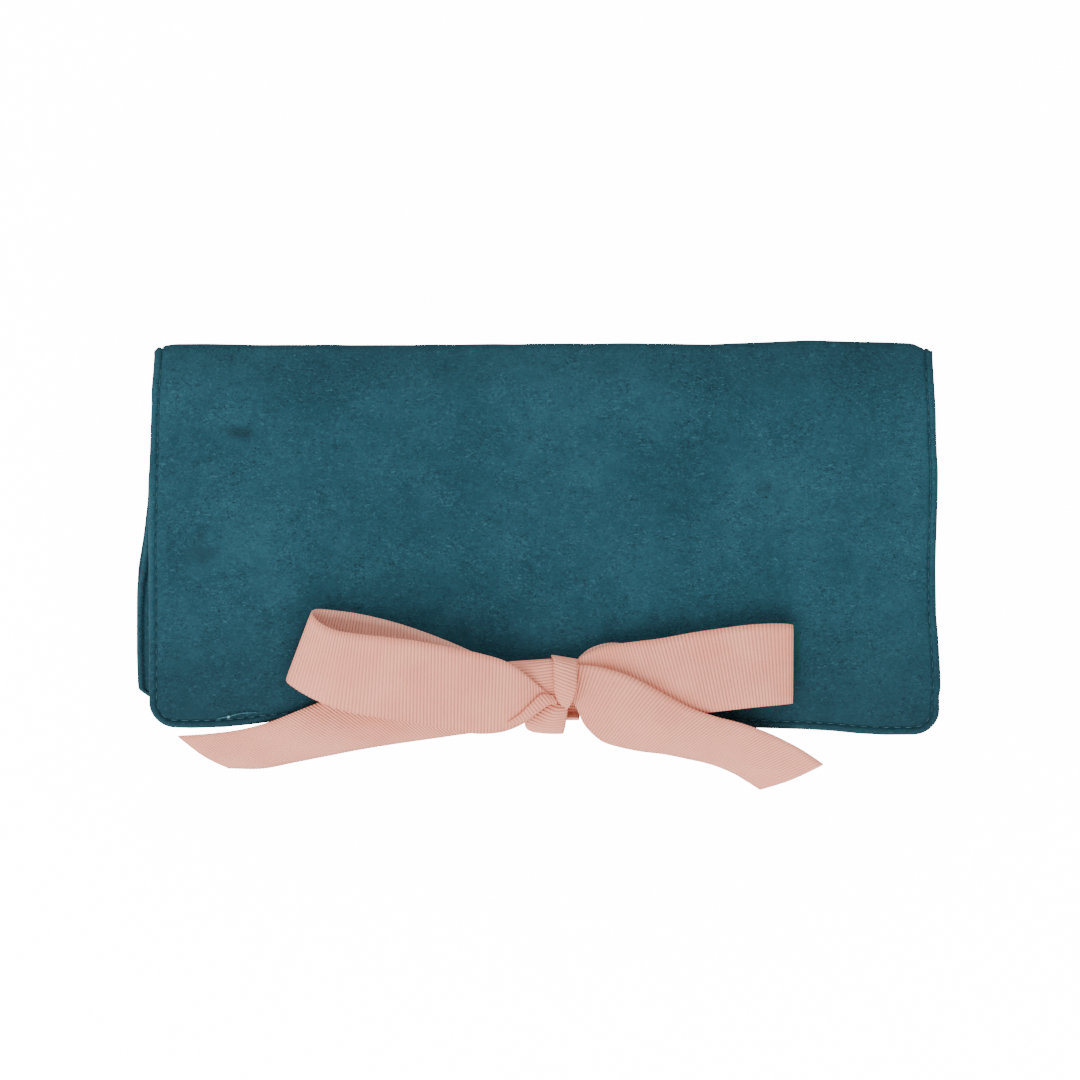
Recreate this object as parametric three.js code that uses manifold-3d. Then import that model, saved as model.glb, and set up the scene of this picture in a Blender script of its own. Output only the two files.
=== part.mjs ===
// A velvet jewellery roll: two padded halves joined by a soft spine, tied shut with a ribbon bow.
// Millimetres, +Z up. The roll lies closed on its back half. The origin is the centre of its underside,
// +X runs along the fold and +Y points from the free edges to the fold.
import * as THREE from "three";
import { mergeVertices } from "three/addons/utils/BufferGeometryUtils.js";
import Module from "manifold-3d";

const wasm = await Module();
wasm.setup();

// Driving dimensions of the closed roll
const PANEL_WIDTH = 240;
const CLOSED_HEIGHT = 118;
const INNER_GAP = 14;
const FREE_CORNER_RADIUS = 9;
const FOLD_CORNER_RADIUS = 3;
const HINGE_CLEARANCE = 0.4;

// Layers of each padded half
const COVER_THICK = 1.2;
const PADDING_THICK = 2.6;
const LINING_THICK = 0.8;
const LAYER_GAP = 0.3;
const SEAM_WIDTH = 2.4;
const EDGE_ROUND = 1.4;
const STITCH_INSET = 2.2;
const STITCH_DEPTH = 0.5;
const STITCH_RISE = 3;
const FLAP_CROWN = 0.9;
const CROWN_REACH = 22;
const BACK_LEAN = 5;

// Zip pocket on the back half
const ZIP_POCKET_WIDTH = 212;
const ZIP_POCKET_LENGTH = 60;
const ZIP_POCKET_DEPTH = 6;
const POCKET_WALL = 0.9;
const POCKET_CORNER_RADIUS = 5;
const POCKET_EDGE_MARGIN = 4;
const ZIP_LENGTH = 190;
const ZIP_SLOT_WIDTH = 7;
const ZIP_SLOT_SETBACK = 5;
const ZIP_TAPE_THICK = 0.6;
const ZIP_TAPE_LAP = 3;
const ZIP_CHAIN_WIDTH = 3.4;
const ZIP_CHAIN_THICK = 1.2;
const ZIP_TOOTH_PITCH = 3.2;
const ZIP_TOOTH_DEPTH = 0.5;
const ZIP_STOP_LENGTH = 2.4;

// Zip slider and puller
const SLIDER_LENGTH = 8;
const SLIDER_WALL = 0.8;
const SLIDER_CLEARANCE = 0.3;
const BAIL_LENGTH = 4.4;
const BAIL_WIRE = 1;
const PULLER_LENGTH = 13;
const PULLER_WIDTH = 4.6;
const PULLER_THICK = 0.9;
const PULLER_LIFT = 0.6;

// Slip pocket on the flap
const SLIP_POCKET_WIDTH = 212;
const SLIP_POCKET_LENGTH = 45;
const SLIP_POCKET_DEPTH = 4.3;
const BINDING_HEIGHT = 5;
const BINDING_THICK = 0.5;

// Ring bar with its popper tab
const RING_BAR_DIAMETER = 11;
const RING_BAR_LENGTH = 150;
const RING_BAR_FOLD_MARGIN = 24;
const RING_BAR_CENTRE_X = -12;
const TAB_LENGTH = 17;
const TAB_WIDTH = 10;
const TAB_THICK = 1.4;
const TAB_ROOT_GAP = 0.8;
const POPPER_DIAMETER = 7;
const POPPER_RISE = 1.1;
const STUD_DIAMETER = 4;

// Ribbon and its bow
const RIBBON_WIDTH = 25;
const RIBBON_THICK = 0.6;
const BOW_X = 6;
const BOW_SETBACK = 14;
const KNOT_LENGTH = 15.4;
const KNOT_WIDTH = 7.6;
const KNOT_HEIGHT = 7.5;
const KNOT_CLEARANCE = 0.6;
const LEFT_LOOP_REACH = 76.6;
const LEFT_LOOP_RISE = 15.8;
const RIGHT_LOOP_REACH = 65.2;
const RIGHT_LOOP_RISE = 8.4;
const LEFT_TAIL_REACH = 113.6;
const RIGHT_TAIL_REACH = 70.1;
const LEFT_TAIL_CUT = 0.11;
const RIGHT_TAIL_CUT = 0.09;
const TIE_FAN_WIDTH = 10.6;
const TIE_FAN_SHIFT = 6.6;
const FLAP_TIE_WIDTH = 12.5;
const FLAP_TIE_SHIFT = 1.8;
const KNOT_FOLD_WIDTH = 13.4;
const TIE_STANDOFF = 2.8;
const TABLE_CLEARANCE = 0.5;

// Places that follow from the driving dimensions
const PANEL_THICK = COVER_THICK + PADDING_THICK + LINING_THICK + 2 * LAYER_GAP;
const TOTAL_THICK = 2 * PANEL_THICK + INNER_GAP;
const FREE_EDGE_Y = -CLOSED_HEIGHT / 2;
const HINGE_Y = CLOSED_HEIGHT / 2 - PANEL_THICK / 2;
const PANEL_END_Y = HINGE_Y - PANEL_THICK / 2 - HINGE_CLEARANCE;
const LOWER_HINGE_Z = PANEL_THICK / 2;
const UPPER_HINGE_Z = TOTAL_THICK - PANEL_THICK / 2;
const PANEL_MID_Y = (FREE_EDGE_Y + PANEL_END_Y) / 2;
const PANEL_LENGTH = PANEL_END_Y - FREE_EDGE_Y;
const INSIDE_Z = PANEL_THICK + LAYER_GAP;
const POCKET_LOW_Y = FREE_EDGE_Y + POCKET_EDGE_MARGIN;

const CORNER_STEPS = 5;
const ROUND_SIDES = 24;
const RIBBON_STEPS_PER_SPAN = 3;
const RIBBON_STRIPS = 4;
const CUT_REACH = 4;

function cloth(colour, roughness) {
  return new THREE.MeshStandardMaterial({ color: colour, roughness, metalness: 0 });
}

const velvet = cloth(0x235a69, 0.95);
const wadding = cloth(0xe8e4da, 1);
const satin = cloth(0xd9a497, 0.55);
const grosgrain = cloth(0xdcaa9c, 0.7);
const tape = cloth(0x2b6272, 0.85);
const brass = new THREE.MeshStandardMaterial({ color: 0xc9a35a, roughness: 0.35, metalness: 1 });

function piece(name, geometry, material) {
  const mesh = new THREE.Mesh(geometry, material);
  mesh.name = name;
  return mesh;
}

// Turns a three.js geometry into a solid that can be cut, and a cut solid back into a geometry.
function solid(geometry) {
  const bare = geometry.clone();
  bare.deleteAttribute("normal");
  bare.deleteAttribute("uv");
  const merged = mergeVertices(bare, 1e-4);
  return new wasm.Manifold(
    new wasm.Mesh({
      numProp: 3,
      vertProperties: new Float32Array(merged.attributes.position.array),
      triVerts: new Uint32Array(merged.index.array),
    }),
  );
}

function geometryOf(manifold) {
  const mesh = manifold.getMesh();
  const geometry = new THREE.BufferGeometry();
  geometry.setAttribute("position", new THREE.BufferAttribute(mesh.vertProperties, 3));
  geometry.setIndex(new THREE.BufferAttribute(mesh.triVerts, 1));
  geometry.computeVertexNormals();
  return geometry;
}

function box(low, high) {
  const size = new THREE.Vector3().subVectors(high, low);
  const centre = new THREE.Vector3().addVectors(low, high).multiplyScalar(0.5);
  return new THREE.BoxGeometry(size.x, size.y, size.z).translate(centre.x, centre.y, centre.z);
}

const at = (x, y, z) => new THREE.Vector3(x, y, z);

// A closed mesh from rings of points: each ring joins the next, and the two end rings are filled.
// The rings run anticlockwise seen from the end that the first ring faces.
function loft(rings) {
  const count = rings[0].length;
  const positions = rings.flat().flatMap((p) => [p.x, p.y, p.z]);
  const index = [];
  for (let r = 0; r + 1 < rings.length; r++) {
    for (let i = 0; i < count; i++) {
      const j = (i + 1) % count;
      const [a, b] = [r * count + i, r * count + j];
      index.push(a, a + count, b, b, a + count, b + count);
    }
  }
  const flat = (ring) => ring.map((p) => new THREE.Vector2(p.x, p.y));
  const last = (rings.length - 1) * count;
  for (const [a, b, c] of THREE.ShapeUtils.triangulateShape(flat(rings[0]), [])) index.push(a, b, c);
  for (const [a, b, c] of THREE.ShapeUtils.triangulateShape(flat(rings[rings.length - 1]), [])) {
    index.push(last + a, last + c, last + b);
  }
  const geometry = new THREE.BufferGeometry();
  geometry.setAttribute("position", new THREE.Float32BufferAttribute(positions, 3));
  geometry.setIndex(index);
  geometry.computeVertexNormals();
  return geometry;
}

// A rounded rectangle at height z, with its own radius at the low-Y and high-Y corners.
function roundedRing(centreY, width, length, lowRadius, highRadius, z) {
  const corners = [
    { sx: 1, sy: 1, radius: highRadius, start: 0 },
    { sx: -1, sy: 1, radius: highRadius, start: 0.5 },
    { sx: -1, sy: -1, radius: lowRadius, start: 1 },
    { sx: 1, sy: -1, radius: lowRadius, start: 1.5 },
  ];
  return corners.flatMap(({ sx, sy, radius, start }) => {
    const cx = sx * (width / 2 - radius);
    const cy = centreY + sy * (length / 2 - radius);
    return Array.from({ length: CORNER_STEPS + 1 }, (_, k) => {
      const angle = (start + (0.5 * k) / CORNER_STEPS) * Math.PI;
      return at(cx + radius * Math.cos(angle), cy + radius * Math.sin(angle), z);
    });
  });
}

// A panel outline drawn in from the edge of a half. A lean carries its free edge sideways.
const LEAST_RADIUS = 0.5;
function panelRing(inset, z, lean) {
  const inner = (radius) => Math.max(radius - inset, LEAST_RADIUS);
  const low = inner(FREE_CORNER_RADIUS);
  const high = inner(FOLD_CORNER_RADIUS);
  const ring = roundedRing(PANEL_MID_Y, PANEL_WIDTH - 2 * inset, PANEL_LENGTH - 2 * inset, low, high, z);
  return ring.map((p) => at(p.x - (lean * (PANEL_END_Y - p.y)) / PANEL_LENGTH, p.y, p.z));
}

// The velvet of one half: a tray with a rounded edge, open on its lining side. Its outer face is at z 0,
// with a stitched groove round it, or swells by the crown below that.
function halfCover(crown, lean) {
  const well = COVER_THICK + SEAM_WIDTH / 2;
  const round = EDGE_ROUND * (1 - Math.SQRT1_2);
  const puff = STITCH_INSET + STITCH_RISE;
  const profile = [
    [CROWN_REACH, COVER_THICK - crown],
    [puff + COVER_THICK, COVER_THICK - crown / 2],
    [well + LAYER_GAP, COVER_THICK],
    [well, PANEL_THICK],
    [SEAM_WIDTH / 2, PANEL_THICK],
    [0, PANEL_THICK / 2 + round],
    [0, EDGE_ROUND],
    [round, round],
    [EDGE_ROUND, 0],
    [STITCH_INSET, STITCH_DEPTH],
    [puff, -crown / 2],
    [CROWN_REACH, -crown],
  ];
  return loft(profile.map(([inset, z]) => panelRing(inset, z, lean)));
}

function slab(inset, low, high, lean) {
  return loft([panelRing(inset, high, lean), panelRing(inset, low, lean)]);
}

// Wadding and lining lie in the tray of the cover.
const WELL_INSET = COVER_THICK + SEAM_WIDTH / 2 + 2 * LAYER_GAP;
function paddedHalf(prefix, crown, lean) {
  const half = new THREE.Group();
  const paddingLow = COVER_THICK + LAYER_GAP;
  const liningLow = paddingLow + PADDING_THICK + LAYER_GAP;
  half.add(
    piece(`${prefix}_cover`, halfCover(crown, lean), velvet),
    piece(`${prefix}_padding`, slab(WELL_INSET, paddingLow, paddingLow + PADDING_THICK, lean), wadding),
    piece(`${prefix}_lining`, slab(WELL_INSET, liningLow, liningLow + LINING_THICK, lean), satin),
  );
  return half;
}

// A pocket is a shallow tray sewn face down on the lining. An open mouth leaves off the wall at its high-Y side.
function pocketPanel(width, length, depth, openMouth) {
  const middleY = POCKET_LOW_Y + length / 2;
  const top = INSIDE_Z + depth + POCKET_WALL;
  const radius = POCKET_CORNER_RADIUS;
  const outer = loft([
    roundedRing(middleY, width, length, radius, radius, top),
    roundedRing(middleY, width, length, radius, radius, INSIDE_Z),
  ]);
  const inner = radius - POCKET_WALL;
  const innerLength = length - 2 * POCKET_WALL;
  const innerWidth = width - 2 * POCKET_WALL;
  const hollow = loft([
    roundedRing(middleY, innerWidth, innerLength, inner, inner, INSIDE_Z + depth),
    roundedRing(middleY, innerWidth, innerLength, inner, inner, INSIDE_Z - POCKET_WALL),
  ]);
  const cut = solid(outer).subtract(solid(hollow));
  if (!openMouth) return cut;
  const mouthY = POCKET_LOW_Y + length - radius;
  const mouth = box(
    at(-innerWidth / 2, mouthY, INSIDE_Z - POCKET_WALL),
    at(innerWidth / 2, mouthY + 2 * radius, INSIDE_Z + depth),
  );
  return cut.subtract(solid(mouth));
}

// Zip: its slot in the pocket, two tapes behind the slot, and a toothed chain between them.
const ZIP_Y = POCKET_LOW_Y + ZIP_POCKET_LENGTH - ZIP_SLOT_SETBACK - ZIP_SLOT_WIDTH / 2;
const POCKET_FACE_Z = INSIDE_Z + ZIP_POCKET_DEPTH + POCKET_WALL;
const TAPE_TOP_Z = INSIDE_Z + ZIP_POCKET_DEPTH - LAYER_GAP;
const CHAIN_LOW_Z = TAPE_TOP_Z - ZIP_TAPE_THICK;

function zipPocketPanel() {
  const slot = box(
    at(-ZIP_LENGTH / 2, ZIP_Y - ZIP_SLOT_WIDTH / 2, INSIDE_Z),
    at(ZIP_LENGTH / 2, ZIP_Y + ZIP_SLOT_WIDTH / 2, POCKET_FACE_Z + POCKET_WALL),
  );
  const panel = pocketPanel(ZIP_POCKET_WIDTH, ZIP_POCKET_LENGTH, ZIP_POCKET_DEPTH, false);
  return geometryOf(panel.subtract(solid(slot)));
}

function zipTape(side) {
  const near = side * (ZIP_CHAIN_WIDTH / 2 + LAYER_GAP);
  const far = side * (ZIP_SLOT_WIDTH / 2 + ZIP_TAPE_LAP);
  return box(
    at(-ZIP_LENGTH / 2 - ZIP_TAPE_LAP, ZIP_Y + Math.min(near, far), TAPE_TOP_Z - ZIP_TAPE_THICK),
    at(ZIP_LENGTH / 2 + ZIP_TAPE_LAP, ZIP_Y + Math.max(near, far), TAPE_TOP_Z),
  );
}

const CHAIN_LENGTH = ZIP_LENGTH - 2 * (ZIP_STOP_LENGTH + 2 * LAYER_GAP);
function zipChain() {
  const teeth = Math.floor(CHAIN_LENGTH / ZIP_TOOTH_PITCH);
  const pitch = CHAIN_LENGTH / teeth;
  const edge = (side) =>
    Array.from({ length: teeth }, (_, i) => {
      const x = -CHAIN_LENGTH / 2 + i * pitch;
      const [root, tip] = [side * (ZIP_CHAIN_WIDTH / 2 - ZIP_TOOTH_DEPTH), (side * ZIP_CHAIN_WIDTH) / 2];
      return [
        new THREE.Vector2(x, root),
        new THREE.Vector2(x + pitch / 4, tip),
        new THREE.Vector2(x + (3 * pitch) / 4, tip),
      ];
    }).flat();
  const end = new THREE.Vector2(CHAIN_LENGTH / 2, -ZIP_CHAIN_WIDTH / 2 + ZIP_TOOTH_DEPTH);
  const farEnd = new THREE.Vector2(CHAIN_LENGTH / 2, ZIP_CHAIN_WIDTH / 2 - ZIP_TOOTH_DEPTH);
  const outline = new THREE.Shape([...edge(-1), end, farEnd, ...edge(1).reverse()]);
  const chain = new THREE.ExtrudeGeometry(outline, { depth: ZIP_CHAIN_THICK, bevelEnabled: false });
  return chain.translate(0, ZIP_Y, CHAIN_LOW_Z);
}

function zipStop(side) {
  const inner = side * (CHAIN_LENGTH / 2 + LAYER_GAP);
  const outer = inner + side * ZIP_STOP_LENGTH;
  return box(
    at(Math.min(inner, outer), ZIP_Y - ZIP_CHAIN_WIDTH / 2, CHAIN_LOW_Z),
    at(Math.max(inner, outer), ZIP_Y + ZIP_CHAIN_WIDTH / 2, CHAIN_LOW_Z + ZIP_CHAIN_THICK),
  );
}

// The slider straddles the chain like a saddle. A wire bail on top holds the puller.
const SLIDER_X = -CHAIN_LENGTH / 2 + SLIDER_LENGTH / 2;
const SLIDER_INNER = ZIP_CHAIN_WIDTH + 2 * SLIDER_CLEARANCE;
const SLIDER_LOW_Z = TAPE_TOP_Z + SLIDER_CLEARANCE;
const SLIDER_ROOF_Z = CHAIN_LOW_Z + ZIP_CHAIN_THICK + SLIDER_CLEARANCE;
const SLIDER_TOP_Z = SLIDER_ROOF_Z + SLIDER_WALL;
const BAIL_RISE = PULLER_THICK + PULLER_LIFT + SLIDER_CLEARANCE;
function zipSlider() {
  const halfWidth = SLIDER_INNER / 2 + SLIDER_WALL;
  const body = box(
    at(SLIDER_X - SLIDER_LENGTH / 2, ZIP_Y - halfWidth, SLIDER_LOW_Z),
    at(SLIDER_X + SLIDER_LENGTH / 2, ZIP_Y + halfWidth, SLIDER_TOP_Z),
  );
  const channel = box(
    at(SLIDER_X - SLIDER_LENGTH, ZIP_Y - SLIDER_INNER / 2, SLIDER_LOW_Z - SLIDER_WALL),
    at(SLIDER_X + SLIDER_LENGTH, ZIP_Y + SLIDER_INNER / 2, SLIDER_ROOF_Z),
  );
  const bail = box(
    at(SLIDER_X - BAIL_LENGTH / 2, ZIP_Y - BAIL_WIRE / 2, SLIDER_TOP_Z - SLIDER_WALL / 2),
    at(SLIDER_X + BAIL_LENGTH / 2, ZIP_Y + BAIL_WIRE / 2, SLIDER_TOP_Z + BAIL_RISE + BAIL_WIRE),
  );
  const window = box(
    at(SLIDER_X - BAIL_LENGTH / 2 + BAIL_WIRE, ZIP_Y - BAIL_WIRE, SLIDER_TOP_Z),
    at(SLIDER_X + BAIL_LENGTH / 2 - BAIL_WIRE, ZIP_Y + BAIL_WIRE, SLIDER_TOP_Z + BAIL_RISE),
  );
  return geometryOf(solid(body).subtract(solid(channel)).add(solid(bail).subtract(solid(window))));
}

// The puller lies along the zip with its eye round the inner leg of the bail.
const PULLER_EYE = BAIL_WIRE + 2 * SLIDER_CLEARANCE;
const PULLER_PIVOT_X = SLIDER_X + BAIL_LENGTH / 2 - BAIL_WIRE / 2;
function zipPuller() {
  const lip = BAIL_LENGTH / 2 - BAIL_WIRE - 2 * SLIDER_CLEARANCE;
  const outline = new THREE.Shape();
  const [low, high] = [-PULLER_EYE / 2 - lip, PULLER_LENGTH - PULLER_WIDTH / 2];
  outline.moveTo(low, -PULLER_WIDTH / 2);
  outline.lineTo(high, -PULLER_WIDTH / 2);
  outline.absarc(high, 0, PULLER_WIDTH / 2, -Math.PI / 2, Math.PI / 2, false);
  outline.lineTo(low, PULLER_WIDTH / 2);
  outline.closePath();
  const eye = new THREE.Path();
  eye.moveTo(-PULLER_EYE / 2, -PULLER_EYE / 2);
  eye.lineTo(-PULLER_EYE / 2, PULLER_EYE / 2);
  eye.lineTo(PULLER_EYE / 2, PULLER_EYE / 2);
  eye.lineTo(PULLER_EYE / 2, -PULLER_EYE / 2);
  eye.closePath();
  outline.holes.push(eye);
  const tab = new THREE.ExtrudeGeometry(outline, { depth: PULLER_THICK, bevelEnabled: false, curveSegments: 8 });
  return tab.translate(PULLER_PIVOT_X, ZIP_Y, SLIDER_TOP_Z + PULLER_LIFT);
}

// Slip pocket on the flap, with a bound edge along its open mouth.
function slipPocketBinding() {
  const mouthY = POCKET_LOW_Y + SLIP_POCKET_LENGTH;
  const face = INSIDE_Z + SLIP_POCKET_DEPTH + POCKET_WALL + LAYER_GAP;
  const halfWidth = SLIP_POCKET_WIDTH / 2 - POCKET_CORNER_RADIUS;
  return box(at(-halfWidth, mouthY - BINDING_HEIGHT, face), at(halfWidth, mouthY, face + BINDING_THICK));
}

// Ring bar: a stuffed roll sewn down at its left end by an anchor strap, held at its right end by a popper tab.
const RING_BAR_Y = PANEL_END_Y - RING_BAR_FOLD_MARGIN;
const RING_BAR_Z = INSIDE_Z + RING_BAR_DIAMETER / 2;
const RING_BAR_LEFT = RING_BAR_CENTRE_X - RING_BAR_LENGTH / 2;
const RING_BAR_RIGHT = RING_BAR_CENTRE_X + RING_BAR_LENGTH / 2;
const RING_BAR_END = RING_BAR_DIAMETER / 4;
function ringBar() {
  const radius = RING_BAR_DIAMETER / 2;
  const half = RING_BAR_LENGTH / 2;
  const profile = [new THREE.Vector2(0, -half), new THREE.Vector2(radius - RING_BAR_END, -half)];
  profile.push(new THREE.Vector2(radius, RING_BAR_END - half), new THREE.Vector2(radius, half - RING_BAR_END));
  profile.push(new THREE.Vector2(radius - RING_BAR_END, half), new THREE.Vector2(0, half));
  const bar = new THREE.LatheGeometry(profile, ROUND_SIDES);
  return bar.rotateZ(-Math.PI / 2).translate(RING_BAR_CENTRE_X, RING_BAR_Y, RING_BAR_Z);
}

const STRAP_GAP = LAYER_GAP;
function anchorStrap() {
  const x = RING_BAR_LEFT - STRAP_GAP;
  const outline = new THREE.Shape();
  outline.moveTo(x - TAB_LENGTH, INSIDE_Z);
  outline.lineTo(x, INSIDE_Z);
  outline.lineTo(x, RING_BAR_Z + TAB_THICK);
  outline.lineTo(x - TAB_THICK, RING_BAR_Z + TAB_THICK);
  outline.lineTo(x - TAB_THICK, INSIDE_Z + 2 * TAB_THICK);
  outline.lineTo(x - 2 * TAB_THICK, INSIDE_Z + TAB_THICK);
  outline.lineTo(x - TAB_LENGTH, INSIDE_Z + TAB_THICK);
  return alongY(outline, TAB_WIDTH, RING_BAR_Y);
}

// An outline in X and Z, extruded along Y about its middle.
function alongY(outline, width, middleY) {
  const made = new THREE.ExtrudeGeometry(outline, { depth: width, bevelEnabled: false });
  return made.rotateX(Math.PI / 2).translate(0, middleY + width / 2, 0);
}

// The tab hangs on the bar's right end and lies flat on the popper's stud.
const TAB_ROOT_X = RING_BAR_RIGHT + TAB_ROOT_GAP;
const TAB_LOW_Z = INSIDE_Z + POPPER_RISE + LAYER_GAP;
const POPPER_X = TAB_ROOT_X + TAB_LENGTH - POPPER_DIAMETER / 2 - TAB_THICK;
function popperTab() {
  const end = TAB_ROOT_X + TAB_LENGTH;
  const outline = new THREE.Shape();
  outline.moveTo(TAB_ROOT_X, TAB_LOW_Z);
  outline.lineTo(end, TAB_LOW_Z);
  outline.lineTo(end, TAB_LOW_Z + TAB_THICK);
  outline.lineTo(TAB_ROOT_X, TAB_LOW_Z + TAB_THICK);
  return alongY(outline, TAB_WIDTH, RING_BAR_Y);
}

function disc(diameter, low, high) {
  const made = new THREE.CylinderGeometry(diameter / 2, diameter / 2, high - low, ROUND_SIDES);
  return made.rotateX(Math.PI / 2).translate(POPPER_X, RING_BAR_Y, (low + high) / 2);
}

function popperCap() {
  const low = TAB_LOW_Z + TAB_THICK + LAYER_GAP;
  return disc(POPPER_DIAMETER, low, low + POPPER_RISE);
}

function popperStud() {
  return disc(STUD_DIAMETER, INSIDE_Z, INSIDE_Z + POPPER_RISE);
}

// Spine: a stadium section whose round ends turn about the two fold lines.
function spineSection(inset) {
  const radius = PANEL_THICK / 2 - inset;
  const outline = new THREE.Shape();
  outline.absarc(HINGE_Y, UPPER_HINGE_Z, radius, 0, Math.PI, false);
  outline.absarc(HINGE_Y, LOWER_HINGE_Z, radius, Math.PI, 2 * Math.PI, false);
  outline.closePath();
  return outline;
}

// An outline in Y and Z, extruded along X about the middle of the roll.
function alongX(outline, width) {
  const options = { depth: width, bevelEnabled: false, curveSegments: ROUND_SIDES / 2 };
  const made = new THREE.ExtrudeGeometry(outline, options);
  return made.rotateZ(Math.PI / 2).rotateY(Math.PI / 2).translate(-width / 2, 0, 0);
}

const SPINE_LINING_HALF = (UPPER_HINGE_Z - LOWER_HINGE_Z) / 2;
const SPINE_MID_Z = (UPPER_HINGE_Z + LOWER_HINGE_Z) / 2;
const SPINE_INNER_Y = HINGE_Y - PANEL_THICK / 2;
function spineCover() {
  const skin = solid(alongX(spineSection(0), PANEL_WIDTH));
  const core = solid(alongX(spineSection(COVER_THICK), PANEL_WIDTH + 2 * COVER_THICK));
  const window = box(
    at(-PANEL_WIDTH, SPINE_INNER_Y - COVER_THICK, SPINE_MID_Z - SPINE_LINING_HALF),
    at(PANEL_WIDTH, SPINE_INNER_Y + COVER_THICK, SPINE_MID_Z + SPINE_LINING_HALF),
  );
  return geometryOf(skin.subtract(core).subtract(solid(window)));
}

function spinePadding() {
  return alongX(spineSection(COVER_THICK + LAYER_GAP), PANEL_WIDTH - 2 * SEAM_WIDTH);
}

function spineLining() {
  const half = SPINE_LINING_HALF - LAYER_GAP;
  return box(
    at(-PANEL_WIDTH / 2 + SEAM_WIDTH, SPINE_INNER_Y, SPINE_MID_Z - half),
    at(PANEL_WIDTH / 2 - SEAM_WIDTH, SPINE_INNER_Y + LINING_THICK, SPINE_MID_Z + half),
  );
}

// A ribbon: stations along it give its middle, the way to its upper and lower edges, and how far it is gathered.
// Its middle line and its two edges are smooth curves, so it can fold along its length and bend across it.
// A tail is cut slantwise: its lower edge ends short by a share of its length.
function ribbon(stations, cutBack = 0) {
  const half = RIBBON_WIDTH / 2;
  const edge = (key) =>
    stations.map((s) => s.middle.clone().addScaledVector(s[key].clone().normalize(), half * s.gather));
  const lines = [edge("up"), stations.map((s) => s.middle), edge("down")];
  const curves = lines.map((points) => new THREE.CatmullRomCurve3(points, false, "centripetal"));
  const steps = RIBBON_STEPS_PER_SPAN * (stations.length - 1);
  const rows = Array.from({ length: steps + 1 }, (_, i) => {
    const share = i / steps;
    const slant = cutBack * share ** CUT_REACH;
    const across = curves.map((curve, k) => curve.getPoint(share * (1 - (slant * k) / (curves.length - 1))));
    return new THREE.CatmullRomCurve3(across, false, "centripetal").getPoints(RIBBON_STRIPS);
  });
  return thicken(rows, RIBBON_THICK);
}

// Gives a grid of points a thickness along its own normals and closes its rim.
function thicken(rows, thickness) {
  const columns = rows[0].length;
  const point = (i, k) => rows[THREE.MathUtils.clamp(i, 0, rows.length - 1)][THREE.MathUtils.clamp(k, 0, columns - 1)];
  const faces = [1, -1].map((side) =>
    rows.map((row, i) =>
      row.map((p, k) => {
        const along = point(i + 1, k).clone().sub(point(i - 1, k));
        const across = point(i, k + 1).clone().sub(point(i, k - 1));
        return p.clone().addScaledVector(along.cross(across).normalize(), (side * thickness) / 2);
      }),
    ),
  );
  const positions = faces.flat(2).flatMap((p) => [p.x, p.y, p.z]);
  const id = (face, i, k) => (face * rows.length + i) * columns + k;
  const index = [];
  const quad = (a, b, c, d) => index.push(a, b, c, a, c, d);
  for (let i = 0; i + 1 < rows.length; i++) {
    for (let k = 0; k + 1 < columns; k++) {
      quad(id(0, i, k), id(0, i + 1, k), id(0, i + 1, k + 1), id(0, i, k + 1));
      quad(id(1, i, k), id(1, i, k + 1), id(1, i + 1, k + 1), id(1, i + 1, k));
    }
    quad(id(0, i, 0), id(1, i, 0), id(1, i + 1, 0), id(0, i + 1, 0));
    const k = columns - 1;
    quad(id(0, i, k), id(0, i + 1, k), id(1, i + 1, k), id(1, i, k));
  }
  const last = rows.length - 1;
  for (let k = 0; k + 1 < columns; k++) {
    quad(id(0, 0, k), id(0, 0, k + 1), id(1, 0, k + 1), id(1, 0, k));
    quad(id(0, last, k), id(1, last, k), id(1, last, k + 1), id(0, last, k + 1));
  }
  const geometry = new THREE.BufferGeometry();
  geometry.setAttribute("position", new THREE.Float32BufferAttribute(positions, 3));
  geometry.setIndex(index);
  geometry.computeVertexNormals();
  return geometry;
}

// The bow lies on the flap's outer face. Its strands leave the knot sideways, and each station on a strand gives
// shares of the strand's reach, of the ribbon's width and of its rise.
const BOW_Y = FREE_EDGE_Y + BOW_SETBACK;
const BOW_Z = TOTAL_THICK + FLAP_CROWN;
function strand(side, reach, rise) {
  const root = KNOT_WIDTH / 2 + KNOT_CLEARANCE;
  const bent = (along, aside, height, up, down, gather = 1) => ({
    middle: at(BOW_X + side * (root + along * reach), BOW_Y + aside * RIBBON_WIDTH, BOW_Z + height * rise),
    up: at(...up),
    down: at(...down),
    gather,
  });
  const flat = (along, aside, height, up, gather) => bent(along, aside, height, up, up.map((v) => -v), gather);
  return { bent, flat };
}

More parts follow.
